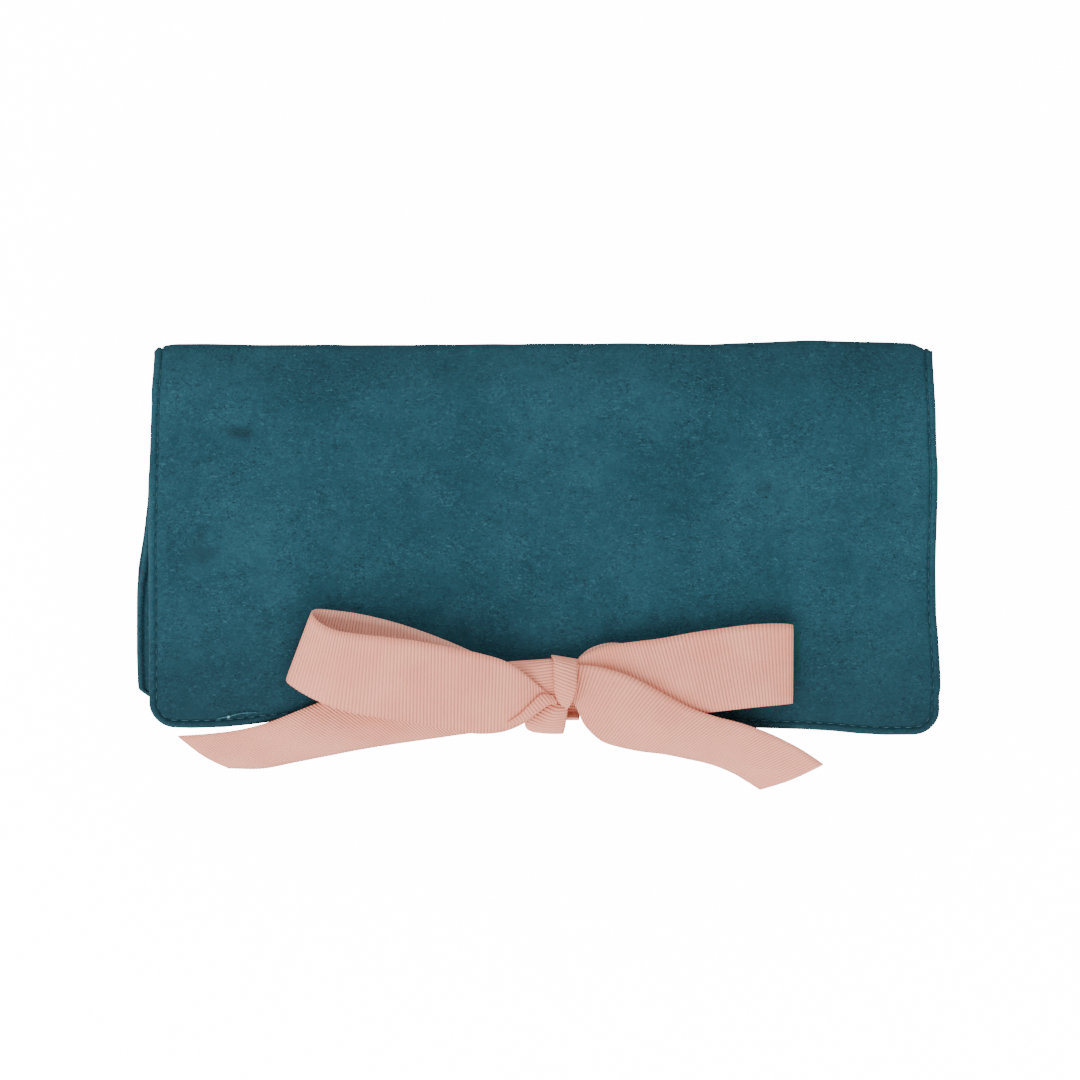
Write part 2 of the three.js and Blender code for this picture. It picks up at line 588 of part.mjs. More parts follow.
function leftLoop() {
  const { flat } = strand(-1, LEFT_LOOP_REACH, LEFT_LOOP_RISE);
  return ribbon([
    flat(0, -0.236, 0.418, [0, 1, 0.3], 0.1),
    flat(0.047, -0.224, 0.481, [0, 1, 0.3], 0.26),
    flat(0.106, -0.196, 0.557, [0, 1, 0.3], 0.46),
    flat(0.204, -0.156, 0.684, [0, 1, 0.3], 0.85),
    flat(0.373, -0.076, 0.861, [0, 1, 0.3]),
    flat(0.608, 0.076, 1, [0, 1, 0.3]),
    flat(0.843, 0.24, 0.975, [0.1, 1, 0.3]),
    flat(0.974, 0.36, 0.785, [0.25, 1, 0.3]),
    flat(1, 0.424, 0.57, [0.3, 1, 0.3]),
    flat(0.948, 0.432, 0.418, [0.25, 1, 0.3]),
    flat(0.804, 0.408, 0.354, [0.1, 1, 0.28]),
    flat(0.595, 0.296, 0.342, [0, 1, 0.26]),
    flat(0.36, 0.064, 0.329, [0, 1, 0.22]),
    flat(0.178, -0.168, 0.266, [0, 1, 0.15], 0.8),
    flat(0.06, -0.24, 0.222, [0, 1, 0.05], 0.38),
    flat(0, -0.224, 0.203, [0, 1, 0], 0.22),
  ]);
}

function rightLoop() {
  const { flat } = strand(1, RIGHT_LOOP_REACH, RIGHT_LOOP_RISE);
  return ribbon([
    flat(0.012, 0.176, 0.57, [0, 1, 0], 0.22),
    flat(0.101, 0.184, 0.726, [0, 1, 0.06], 0.55),
    flat(0.285, 0.104, 0.857, [0, 1, 0.06], 0.9),
    flat(0.561, 0.128, 0.976, [0, 1, 0.06]),
    flat(0.807, 0.184, 1, [0, 1, 0.06]),
    flat(0.96, 0.224, 0.857, [0, 1, 0.06]),
    flat(1, 0.236, 0.595, [0, 1, 0.06]),
    flat(0.945, 0.228, 0.357, [0, 1, 0.05]),
    flat(0.761, 0.184, 0.262, [0, 1, 0.05]),
    flat(0.515, 0.136, 0.238, [0, 1, 0.05]),
    flat(0.27, 0.12, 0.262, [0, 1, 0.04], 0.85),
    flat(0.086, 0.136, 0.31, [0, 1, 0], 0.5),
    flat(0.012, 0.144, 0.321, [0, 1, 0], 0.28),
  ]);
}

// The tails run out over the free edge. Their lower edges come down to the table.
const DROP = BOW_Z - TABLE_CLEARANCE;
function leftTail() {
  const { bent } = strand(-1, LEFT_TAIL_REACH, DROP);
  const stations = [
    bent(-0.001, -0.216, 0.04, [0, 1, 0.05], [0, -1, 0], 0.2),
    bent(0.085, -0.344, 0.032, [0, 1, 0], [0, -1, -0.05], 0.36),
    bent(0.199, -0.424, 0.036, [0.05, 1, -0.03], [-0.1, -1, -0.35], 0.6),
    bent(0.331, -0.556, 0.028, [0.05, 1, 0], [-0.1, -0.45, -0.89], 0.85),
    bent(0.489, -0.608, 0.024, [0.05, 1, 0.03], [-0.1, -0.52, -0.85]),
    bent(0.648, -0.752, -0.169, [0.05, 0.77, 0.64], [-0.05, -0.45, -0.89]),
    bent(0.815, -0.824, -0.5, [0, 0.36, 0.93], [0, -0.42, -0.9], 0.98),
    bent(1, -0.816, -0.5, [0, 0.34, 0.94], [0, -0.45, -0.89], 0.98),
  ];
  return ribbon(stations, LEFT_TAIL_CUT);
}

function rightTail() {
  const { bent } = strand(1, RIGHT_TAIL_REACH, DROP);
  const stations = [
    bent(0, 0.024, 0.25, [0, 1, 0], [0, -1, -0.1], 0.36),
    bent(0.037, -0.104, 0.315, [0.15, 0.98, 0.1], [-0.15, -0.98, -0.1], 0.62),
    bent(0.086, -0.232, 0.351, [0.26, 0.96, 0.1], [-0.26, -0.93, -0.25], 0.84),
    bent(0.18, -0.368, 0.355, [0.35, 0.93, 0.12], [-0.36, -0.85, -0.4], 0.95),
    bent(0.294, -0.52, 0.306, [0.4, 0.9, 0.18], [-0.4, -0.62, -0.67]),
    bent(0.451, -0.72, 0.226, [0.5, 0.84, 0.3], [-0.3, -0.45, -0.84]),
    bent(0.636, -0.84, 0.02, [0.45, 0.72, 0.52], [-0.35, -0.4, -0.85]),
    bent(0.836, -1.06, -0.258, [0.5, 0.55, 0.67], [-0.45, -0.4, -0.8]),
    bent(1, -1.24, -0.508, [0.42, 0.45, 0.79], [-0.42, -0.42, -0.8]),
  ];
  return ribbon(stations, RIGHT_TAIL_CUT);
}

// The ties leave the seams of the two halves and run up the front to the knot, one in front of the other.
// Their stations are flat across and lie at real distances from the free edge.
function tieStation(x, y, z, width) {
  return { middle: at(BOW_X + x, y, z), up: at(1, 0, 0), down: at(-1, 0, 0), gather: width / RIBBON_WIDTH };
}

const SEAM_GAP = RIBBON_THICK / 2 + LAYER_GAP;
const TIE_FRONT_Y = FREE_EDGE_Y - TIE_STANDOFF;
const KNOT_FOOT_Y = BOW_Y - KNOT_LENGTH / 2;
const EDGE_TO_KNOT = KNOT_FOOT_Y - FREE_EDGE_Y;
function flapTie() {
  const seam = FREE_EDGE_Y - SEAM_GAP;
  const row = (y, z, share) => tieStation(FLAP_TIE_SHIFT * share, y, z, FLAP_TIE_WIDTH * share);
  return ribbon([
    row(seam, UPPER_HINGE_Z, 1),
    row(seam - LAYER_GAP, UPPER_HINGE_Z + PANEL_THICK / 4, 0.98),
    row(seam - LAYER_GAP, BOW_Z + RIBBON_THICK, 0.9),
    row(FREE_EDGE_Y + EDGE_TO_KNOT / 4, BOW_Z + 2 * RIBBON_THICK, 0.76),
    row(FREE_EDGE_Y + EDGE_TO_KNOT * 0.75, BOW_Z + 2 * RIBBON_THICK, 0.6),
    row(KNOT_FOOT_Y + SEAM_GAP, BOW_Z + RIBBON_THICK, 0.48),
  ]);
}

const TIE_SPLIT_Z = TOTAL_THICK;
const TIE_SEAM_WIDTH = RIBBON_WIDTH - 2 * RIBBON_THICK;
function backTie() {
  const row = (y, z, share) =>
    tieStation(-TIE_FAN_SHIFT * share, y, z, THREE.MathUtils.lerp(TIE_SEAM_WIDTH, TIE_FAN_WIDTH, share));
  return ribbon([
    row(FREE_EDGE_Y - SEAM_GAP, LOWER_HINGE_Z, 0),
    row(TIE_FRONT_Y + LAYER_GAP, LOWER_HINGE_Z + TIE_STANDOFF, 0.1),
    row(TIE_FRONT_Y, (LOWER_HINGE_Z + TIE_SPLIT_Z) / 2, 0.5),
    row(TIE_FRONT_Y, TIE_SPLIT_Z - LAYER_GAP, 1),
  ]);
}

// The rest of that tie belongs to the bow: it turns over the free edge like a fan and tucks into the knot's foot.
function bowFrontStrand() {
  const row = (y, z, shift, width) => tieStation(-TIE_FAN_SHIFT * shift, y, z, TIE_FAN_WIDTH * width);
  const turn = (inward, rise) => [FREE_EDGE_Y + EDGE_TO_KNOT * inward, BOW_Z + KNOT_HEIGHT * rise];
  return ribbon([
    row(TIE_FRONT_Y, TIE_SPLIT_Z + LAYER_GAP, 1, 1),
    row(...turn(-0.14, 0.26), 0.94, 0.96),
    row(...turn(0.29, 0.52), 0.74, 0.87),
    row(...turn(0.76, 0.69), 0.42, 0.64),
    row(...turn(1.24, 0.57), 0.21, 0.4),
  ]);
}

// The knot: a small core of crossed ribbon, a wrap that arches over it and a fold that shows at its left.
function knotCore() {
  const core = new THREE.SphereGeometry(1, ROUND_SIDES / 2, ROUND_SIDES / 3).rotateX(Math.PI / 2);
  const height = KNOT_HEIGHT - 2 * RIBBON_THICK - LAYER_GAP;
  core.scale(KNOT_WIDTH / 2 - LAYER_GAP, KNOT_LENGTH / 2 - 4 * RIBBON_THICK - LAYER_GAP, height / 2);
  return core.translate(BOW_X, BOW_Y, BOW_Z + LAYER_GAP + height / 2);
}

// A row of the knot's ribbon: shares of half the knot's length and of its height, and the slant of its edge.
function knotRow(x, y, z, slant, width) {
  return {
    middle: at(BOW_X + x, BOW_Y + (y * KNOT_LENGTH) / 2, BOW_Z + z * KNOT_HEIGHT),
    up: at(1, slant, 0),
    down: at(-1, -slant, 0),
    gather: width / RIBBON_WIDTH,
  };
}

function knotWrap() {
  const row = (x, y, z, slant, width) => knotRow(x * KNOT_WIDTH, y, z, slant, width * KNOT_WIDTH);
  return ribbon([
    row(0.09, 0.78, 0.21, -0.1, 0.92),
    row(0.08, 1.03, 0.45, -0.2, 0.99),
    row(0.05, 1.04, 0.8, -0.3, 1.02),
    row(0.04, 0.73, 1.15, -0.4, 1.02),
    row(0.01, 0.13, 1.28, -0.4, 0.99),
    row(-0.03, -0.47, 1.21, -0.4, 0.855),
    row(-0.03, -0.86, 0.99, -0.3, 0.625),
    row(-0.04, -0.95, 0.8, -0.2, 0.53),
  ]);
}

function knotFold() {
  const edge = KNOT_WIDTH / 2 + LAYER_GAP;
  const row = (y, z, share) => {
    const width = KNOT_FOLD_WIDTH * share;
    return knotRow(-edge - width / 2, y, z, 0, width);
  };
  return ribbon([
    row(0.47, 0.32, 0.88),
    row(0.77, 0.45, 0.97),
    row(0.77, 0.67, 1),
    row(0.36, 0.92, 0.73),
    row(-0.08, 0.95, 0.42),
    row(-0.3, 0.87, 0.2),
  ]);
}

const back = paddedHalf("back", 0, BACK_LEAN);
back.add(
  piece("zip_pocket_panel", zipPocketPanel(), satin),
  piece("zip_tape_upper", zipTape(1), tape),
  piece("zip_tape_lower", zipTape(-1), tape),
  piece("zip_chain", zipChain(), brass),
  piece("zip_stop_left", zipStop(-1), brass),
  piece("zip_stop_right", zipStop(1), brass),
  piece("zip_slider", zipSlider(), brass),
  piece("zip_puller", zipPuller(), brass),
  piece("ring_bar", ringBar(), velvet),
  piece("ring_bar_anchor_strap", anchorStrap(), velvet),
  piece("popper_tab", popperTab(), velvet),
  piece("popper_cap", popperCap(), brass),
  piece("popper_stud", popperStud(), brass),
  piece("back_tie", backTie(), grosgrain),
);

const spine = new THREE.Group();
spine.add(
  piece("spine_cover", spineCover(), velvet),
  piece("spine_padding", spinePadding(), wadding),
  piece("spine_lining", spineLining(), satin),
);

// The flap is the back half turned over in height, so both share one set of values.
const flap = paddedHalf("flap", FLAP_CROWN, 0);
flap.add(
  piece(
    "slip_pocket_panel",
    geometryOf(pocketPanel(SLIP_POCKET_WIDTH, SLIP_POCKET_LENGTH, SLIP_POCKET_DEPTH, true)),
    satin,
  ),
  piece("slip_pocket_binding", slipPocketBinding(), grosgrain),
);
flap.position.z = TOTAL_THICK;
flap.scale.z = -1;

const bow = new THREE.Group();
bow.add(
  piece("bow_knot_core", knotCore(), grosgrain),
  piece("bow_knot_wrap", knotWrap(), grosgrain),
  piece("bow_knot_fold", knotFold(), grosgrain),
  piece("bow_left_loop", leftLoop(), grosgrain),
  piece("bow_right_loop", rightLoop(), grosgrain),
  piece("bow_left_tail", leftTail(), grosgrain),
  piece("bow_right_tail", rightTail(), grosgrain),
  piece("bow_front_strand", bowFrontStrand(), grosgrain),
  piece("flap_tie", flapTie(), grosgrain),
);

const jewelleryRoll = new THREE.Group();
jewelleryRoll.add(back, spine, flap, bow);

export default jewelleryRoll;
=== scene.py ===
"""A velvet jewelry roll tied with a grosgrain bow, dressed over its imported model. Metres, +Z up."""

import math
from collections import namedtuple

import bmesh
import bpy
import numpy as np
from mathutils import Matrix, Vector, noise


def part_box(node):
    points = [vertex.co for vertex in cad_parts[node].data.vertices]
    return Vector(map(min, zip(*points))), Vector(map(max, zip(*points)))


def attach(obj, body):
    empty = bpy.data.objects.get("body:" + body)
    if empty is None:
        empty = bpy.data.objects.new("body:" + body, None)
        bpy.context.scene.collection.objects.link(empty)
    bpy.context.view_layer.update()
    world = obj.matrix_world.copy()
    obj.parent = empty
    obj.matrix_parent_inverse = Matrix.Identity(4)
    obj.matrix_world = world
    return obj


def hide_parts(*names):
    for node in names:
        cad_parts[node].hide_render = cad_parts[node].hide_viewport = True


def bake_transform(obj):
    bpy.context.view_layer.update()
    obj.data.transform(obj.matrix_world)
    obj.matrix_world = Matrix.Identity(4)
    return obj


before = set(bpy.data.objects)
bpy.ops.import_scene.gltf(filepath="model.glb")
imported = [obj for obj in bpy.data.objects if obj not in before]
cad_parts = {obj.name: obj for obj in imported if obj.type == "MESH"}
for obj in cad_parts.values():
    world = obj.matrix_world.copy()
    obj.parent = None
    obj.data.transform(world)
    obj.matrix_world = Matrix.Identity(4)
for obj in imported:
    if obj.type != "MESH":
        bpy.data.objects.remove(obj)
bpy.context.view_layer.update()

MM = 0.001


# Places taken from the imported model, in millimetres


def node_box(name):
    low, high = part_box(name)
    return np.array(low) / MM, np.array(high) / MM


flap_low, flap_high = node_box("flap_cover")
back_high = node_box("back_cover")[1]
spine_high = node_box("spine_cover")[1]
FREE_EDGE_Y = flap_low[1]
FOLD_Y = spine_high[1]
TOTAL_THICK = spine_high[2]
PANEL_THICK = back_high[2]
HALF_THICK = PANEL_THICK / 2
HINGE_Y = FOLD_Y - HALF_THICK
LOWER_HINGE_Z = HALF_THICK
UPPER_HINGE_Z = TOTAL_THICK - HALF_THICK
SPINE_MID_Z = TOTAL_THICK / 2
FLAP_TOP_Z = flap_high[2]

# Sizes of the cloth and the thread, in millimetres
RIBBON_THICK = 0.6
RIB_PITCH = 1.05
WEAVE_PITCH = 0.5
RIB_HEIGHT = 0.12
# A shift across the cloth that marks a ribbon face for its paler colour, painted light inside the loops
PAINTED_PALE_SHIFT = 100.0
STITCH_PITCH = 3.4
STITCH_LENGTH = 2.5
THREAD_RADIUS = 0.21
SEAM_INSET = 2.35
RIM_HALF = 2.0
CORNER_RADIUS = 7.6
FACING_WIDTH = 7.2
TRAY_DEPTH = 0.85
SATIN_THICK = 0.64
POCKET_THICK = 0.7

# The camera looks straight down from a height over the flap in metres. Its place, and the size on the flap
# of a pixel of its picture, are in millimetres
CAMERA_HEIGHT = 1.7
CAMERA_X = -1.525
CAMERA_Y = -1.68
PIXEL_SIZE = 0.305
PHOTO_PIXELS = 1080


def smooth(low, high, value):
    share = np.clip((value - low) / (high - low), 0.0, 1.0)
    return share * share * (3 - 2 * share)


def ripple(points, size, seed):
    """A soft noise from -1 to 1 at each point, with features of about this size in millimetres."""
    offset = Vector((seed * 17.3, seed * 5.1, seed * 9.7))
    flat = np.asarray(points, float).reshape(-1, 3)
    found = np.array([noise.noise(Vector(p) / size + offset) for p in flat])
    return found.reshape(np.shape(points)[:-1])


def points_at(x, y, z):
    """Points from their coordinates. A coordinate may be one number for all of them."""
    return np.stack(np.broadcast_arrays(x, y, z), axis=-1)


def lengths_along(line):
    """How far each point of a line lies along it."""
    return np.concatenate([[0.0], np.cumsum(np.linalg.norm(np.diff(line, axis=0), axis=1))])


def thin_edges(count, share):
    """How thick a cloth is at each of the points across it: all of it, but this share at both edges."""
    found = np.ones(count)
    found[[0, -1]] = share
    return found


# Meshes


def add_object(name, data):
    item = bpy.data.objects.new(name, data)
    bpy.context.scene.collection.objects.link(item)
    return item


def add_piece(name, verts, faces, uvs=None, weld=0.0):
    """A mesh object from points in millimetres, its faces turned outward and its loose points left out.
    uvs holds a pair in millimetres for each point. Points closer than weld become one."""
    mesh = bpy.data.meshes.new(name)
    mesh.from_pydata([tuple(v) for v in np.asarray(verts, float) * MM], [], faces)
    if uvs is not None:
        layer = mesh.uv_layers.new(name="cloth")
        corner = np.empty(len(mesh.loops), dtype=np.int64)
        mesh.loops.foreach_get("vertex_index", corner)
        layer.data.foreach_set("uv", (np.asarray(uvs, float)[corner] * MM).ravel())
    mesh.validate()
    mesh.polygons.foreach_set("use_smooth", [True] * len(mesh.polygons))
    mesh.update()
    work = bmesh.new()
    work.from_mesh(mesh)
    loose = [v for v in work.verts if not v.link_faces]
    bmesh.ops.delete(work, geom=loose, context="VERTS")
    if weld:
        bmesh.ops.remove_doubles(work, verts=work.verts, dist=weld * MM)
        bmesh.ops.dissolve_degenerate(work, edges=work.edges, dist=weld * MM)
    bmesh.ops.recalc_face_normals(work, faces=work.faces)
    work.to_mesh(mesh)
    work.free()
    mesh.update()
    return add_object(name, mesh)


def joined(parts):
    """The points and faces of several parts, as those of one mesh."""
    verts = []
    faces = []
    count = 0
    for points, sides in parts:
        verts.append(points)
        faces += [tuple(count + v for v in face) for face in sides]
        count += len(points)
    return np.concatenate(verts), faces


def ring_faces(rings, sides):
    """Faces between rings of points, each with this many, that follow one another."""
    faces = []
    for start in range(0, (rings - 1) * sides, sides):
        for j in range(sides):
            over = (j + 1) % sides
            faces.append((start + j, start + over, start + sides + over, start + sides + j))
    return faces


def capped_faces(rings, sides):
    """The same, closed at both ends by fans to the two points that come after the rings."""
    faces = ring_faces(rings, sides)
    first_tip = rings * sides
    last = first_tip - sides
    for j in range(sides):
        over = (j + 1) % sides
        faces.append((first_tip, over, j))
        faces.append((first_tip + 1, last + j, last + over))
    return faces


CELL_CORNERS = ((0, 0), (0, 1), (1, 1), (1, 0))
CELL_NEIGHBOURS = ((-1, 0), (0, 1), (1, 0), (0, -1))


def shell_faces(rows, columns, filled):
    """Faces of a closed shell: an outer grid, an inner grid behind it, and a rim round the filled cells."""
    behind = rows * columns
    kept = np.pad(filled, 1)
    faces = []
    for i, j in zip(*np.nonzero(filled)):
        ring = [int((i + down) * columns + j + over) for down, over in CELL_CORNERS]
        faces.append(tuple(ring))
        faces.append(tuple(behind + v for v in reversed(ring)))
        for start, end, (down, over) in zip(ring, ring[1:] + ring[:1], CELL_NEIGHBOURS):
            if not kept[i + 1 + down, j + 1 + over]:
                faces.append((start, behind + start, behind + end, end))
    return faces


def shell(name, outer, inner, uvs=None, weld=0.0, filled=None):
    """A closed shell between two grids of points of the same shape. filled marks the cells that are cloth."""
    rows, columns = outer.shape[:2]
    if filled is None:
        filled = np.ones((rows - 1, columns - 1), bool)
    verts = np.concatenate([outer.reshape(-1, 3), inner.reshape(-1, 3)])
    both = None if uvs is None else np.concatenate([uvs.reshape(-1, 2)] * 2)
    return add_piece(name, verts, shell_faces(rows, columns, filled), both, weld)


def grid_normals(points):
    along = np.gradient(points, axis=0)
    across = np.gradient(points, axis=1)
    normal = np.cross(along, across)
    length = np.linalg.norm(normal, axis=2, keepdims=True)
    return normal / np.maximum(length, 1e-9)


def grid_measures(rows):
    """Lengths along a grid of cloth and across it at each point, and the area of each of its cells."""
    down = np.linalg.norm(np.diff(rows, axis=0), axis=2)
    over = np.linalg.norm(np.diff(rows, axis=1), axis=2)
    along = np.concatenate([np.zeros((1, rows.shape[1])), np.cumsum(down, axis=0)])
    across = np.concatenate([np.zeros((len(rows), 1)), np.cumsum(over, axis=1)], axis=1)
    long_way = rows[1:, 1:] - rows[:-1, :-1]
    short_way = rows[1:, :-1] - rows[:-1, 1:]
    cells = np.linalg.norm(np.cross(long_way, short_way), axis=2) / 2
    return along, across, cells


def dress(piece, material, slot, body, *nodes):
    """Gives a piece its material, and has it ride on a body in place of the named nodes."""
    piece.data.materials.clear()
    piece.data.materials.append(material)
    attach(piece, body)
    if nodes:
        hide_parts(*nodes)


# Materials


def colour(red, green, blue):
    """A colour seen on screen, as the linear values that shaders use."""
    linear = [v / 12.92 if v <= 0.04045 else ((v + 0.055) / 1.055) ** 2.4 for v in (red, green, blue)]
    return (*linear, 1.0)


def shade_group(name, inputs, outputs):
    """A node group with named sockets. Returns the group, its input node and its output node."""
    group = bpy.data.node_groups.new(name, "ShaderNodeTree")
    for label, kind, value in inputs:
        socket = group.interface.new_socket(name=label, in_out="INPUT", socket_type=kind)
        if value is not None:
            socket.default_value = value
    for label, kind in outputs:
        group.interface.new_socket(name=label, in_out="OUTPUT", socket_type=kind)
    return group, group.nodes.new("NodeGroupInput"), group.nodes.new("NodeGroupOutput")


def feed(tree, node, links):
    """Sets inputs of a node to values, or joins them to other sockets."""
    for key, value in links.items():
        if isinstance(value, bpy.types.NodeSocket):
            tree.links.new(value, node.inputs[key])
        else:
            node.inputs[key].default_value = value
    return node


def put(tree, kind, links=None, **settings):
    node = tree.nodes.new(kind)
    for key, value in settings.items():
        setattr(node, key, value)
    return feed(tree, node, links or {})


def speckle(tree, vector, size, detail=3.0, rough=0.6, distortion=0.0):
    """Noise whose features are about this many millimetres wide."""
    sockets = {"Vector": vector, "Scale": 1.0 / (size * MM), "Detail": detail, "Roughness": rough}
    sockets["Distortion"] = distortion
    return put(tree, "ShaderNodeTexNoise", sockets).outputs[0]


def span(tree, value, low, high, to_low=0.0, to_high=1.0):
    sockets = {"Value": value, "From Min": low, "From Max": high, "To Min": to_low, "To Max": to_high}
    return put(tree, "ShaderNodeMapRange", sockets).outputs["Result"]


def sums(tree, operation, first, second=0.0):
    return put(tree, "ShaderNodeMath", {0: first, 1: second}, operation=operation).outputs[0]


def mixed(tree, share, first, second):
    node = put(tree, "ShaderNodeMix", data_type="RGBA")
    return feed(tree, node, {0: share, 6: first, 7: second}).outputs[2]


def bump(tree, height, strength, distance):
    sockets = {"Height": height, "Strength": strength, "Distance": distance * MM}
    return put(tree, "ShaderNodeBump", sockets).outputs["Normal"]


def use_group(tree, group, links):
    return feed(tree, put(tree, "ShaderNodeGroup", node_tree=group), links)


def new_material(name, base, roughness, **constants):
    """A material with one Principled shader. constants name its other sockets, with _ for a space."""
    material = bpy.data.materials.new(name)
    material.use_nodes = True
    shader = material.node_tree.nodes["Principled BSDF"]
    shader.inputs["Base Color"].default_value = base
    shader.inputs["Roughness"].default_value = roughness
    for key, value in constants.items():
        shader.inputs[key.replace("_", " ")].default_value = value
    material.diffuse_color = base
    return material, material.node_tree, shader


def object_place(tree):
    return put(tree, "ShaderNodeTexCoord").outputs["Object"]


def cloth_place(tree):
    """Where a point lies across its cloth and along it."""
    cloth = put(tree, "ShaderNodeUVMap", uv_map="cloth")
    parts = put(tree, "ShaderNodeSeparateXYZ", {0: cloth.outputs["UV"]})
    return parts.outputs["X"], parts.outputs["Y"]


# Nap: a brushed pile with broad tones, crushed spots, and light and dark flecks where it was stroked
nap, nap_in, nap_out = shade_group(
    "brushed nap",
    [
        ("Vector", "NodeSocketVector", None),
        ("Dark", "NodeSocketColor", (0, 0, 0, 1)),
        ("Middle", "NodeSocketColor", (0.5, 0.5, 0.5, 1)),
        ("Light", "NodeSocketColor", (1, 1, 1, 1)),
    ],
    [("Color", "NodeSocketColor"), ("Pile", "NodeSocketFloat")],
)
where, dark, middle, light = (nap_in.outputs[label] for label in ("Vector", "Dark", "Middle", "Light"))
strokes = speckle(nap, where, 7.0, 5.0, 0.68)
clouds = sums(nap, "MULTIPLY", speckle(nap, where, 34.0, 4.0, 0.6), 0.6)
tone = sums(nap, "ADD", clouds, sums(nap, "MULTIPLY", strokes, 0.4))
broad = mixed(nap, span(nap, tone, 0.34, 0.66), dark, light)
toned = mixed(nap, 0.68, broad, middle)
brushed_way = put(nap, "ShaderNodeMapping", {0: where, 3: (0.62, 1.15, 1.0)}).outputs[0]
flecks = speckle(nap, brushed_way, 0.8, 2.0, 0.72, 1.7)
stroked = span(nap, speckle(nap, where, 13.0, 2.0, 0.5), 0.32, 0.62, 0.5, 1.0)
light_flecks = sums(nap, "MULTIPLY", span(nap, flecks, 0.55, 0.71, 0.0, 0.85), stroked)
dark_flecks = sums(nap, "MULTIPLY", span(nap, flecks, 0.46, 0.31, 0.0, 1.0), stroked)
lit = mixed(nap, light_flecks, toned, light)
grained = mixed(nap, dark_flecks, lit, dark)
crushed = span(nap, speckle(nap, where, 19.0, 2.0, 0.5), 0.67, 0.78, 0.0, 0.45)
pile = sums(nap, "ADD", sums(nap, "MULTIPLY", flecks, 0.8), sums(nap, "MULTIPLY", strokes, 0.4))
feed(nap, nap_out, {"Color": mixed(nap, crushed, grained, dark), "Pile": pile})

# Cords: round ribs side by side along a cloth, with the shade that lies between them
cords, cords_in, cords_out = shade_group(
    "cloth ribs",
    [("Along", "NodeSocketFloat", 0.0), ("Pitch", "NodeSocketFloat", 0.001)],
    [("Rise", "NodeSocketFloat"), ("Groove", "NodeSocketFloat")],
)
count = sums(cords, "DIVIDE", cords_in.outputs["Along"], cords_in.outputs["Pitch"])
rise = sums(cords, "ABSOLUTE", sums(cords, "SINE", sums(cords, "MULTIPLY", count, math.pi)))
feed(cords, cords_out, {"Rise": rise, "Groove": span(cords, rise, 0.0, 0.6, 1.0, 0.0)})

VELVET_DARK = colour(0.04, 0.126, 0.158)
VELVET_MIDDLE = colour(0.077, 0.228, 0.276)
VELVET_LIGHT = colour(0.185, 0.359, 0.407)
# A dent in the flap's pile: its place and half sizes in metres, and its slant in radians
DENT_PLACE = (-0.0933, 0.031, 0.0253)
DENT_REACH = (0.0066, 0.0024, 0.006)
DENT_SLANT = -0.2
# Where along Y the velvet's colour is painted darker as shade, towards the fold and towards the free edge, in
# metres
FOLD_SHADE = (0.04, 0.058)
EDGE_SHADE = (-0.02, -0.058)


def velvet_material():
    material, tree, shader = new_material(
        "teal velvet",
        VELVET_MIDDLE,
        0.9,
        Sheen_Weight=0.116,
        Sheen_Roughness=0.4,
        Sheen_Tint=colour(0.35, 0.62, 0.7),
        Specular_IOR_Level=0.15,
    )
    place = object_place(tree)
    tones = {"Vector": place, "Dark": VELVET_DARK, "Middle": VELVET_MIDDLE, "Light": VELVET_LIGHT}
    brushed = use_group(tree, nap, tones)
    height = put(tree, "ShaderNodeSeparateXYZ", {0: place}).outputs["Y"]
    # Painted shade: the colour darkens towards the fold and towards the free edge
    at_fold = span(tree, height, *FOLD_SHADE, 0.0, 0.3)
    at_edge = span(tree, height, *EDGE_SHADE, 0.0, 0.45)
    with_painted_shade = mixed(tree, sums(tree, "ADD", at_fold, at_edge), brushed.outputs["Color"], VELVET_DARK)
    dent = {0: place, 1: DENT_PLACE, 2: (0.0, 0.0, DENT_SLANT), 3: DENT_REACH}
    from_dent = put(tree, "ShaderNodeMapping", dent, vector_type="TEXTURE").outputs[0]
    reach = put(tree, "ShaderNodeVectorMath", {0: from_dent}, operation="LENGTH").outputs["Value"]
    rough = sums(tree, "MULTIPLY", speckle(tree, place, 2.6, 3.0, 0.6), 0.9)
    pressed = span(tree, sums(tree, "ADD", reach, rough), 1.55, 0.8, 0.0, 0.55)
    pile_normal = bump(tree, brushed.outputs["Pile"], 0.5, 0.5)
    feed(tree, shader, {"Base Color": mixed(tree, pressed, with_painted_shade, VELVET_DARK), "Normal": pile_normal})
    return material


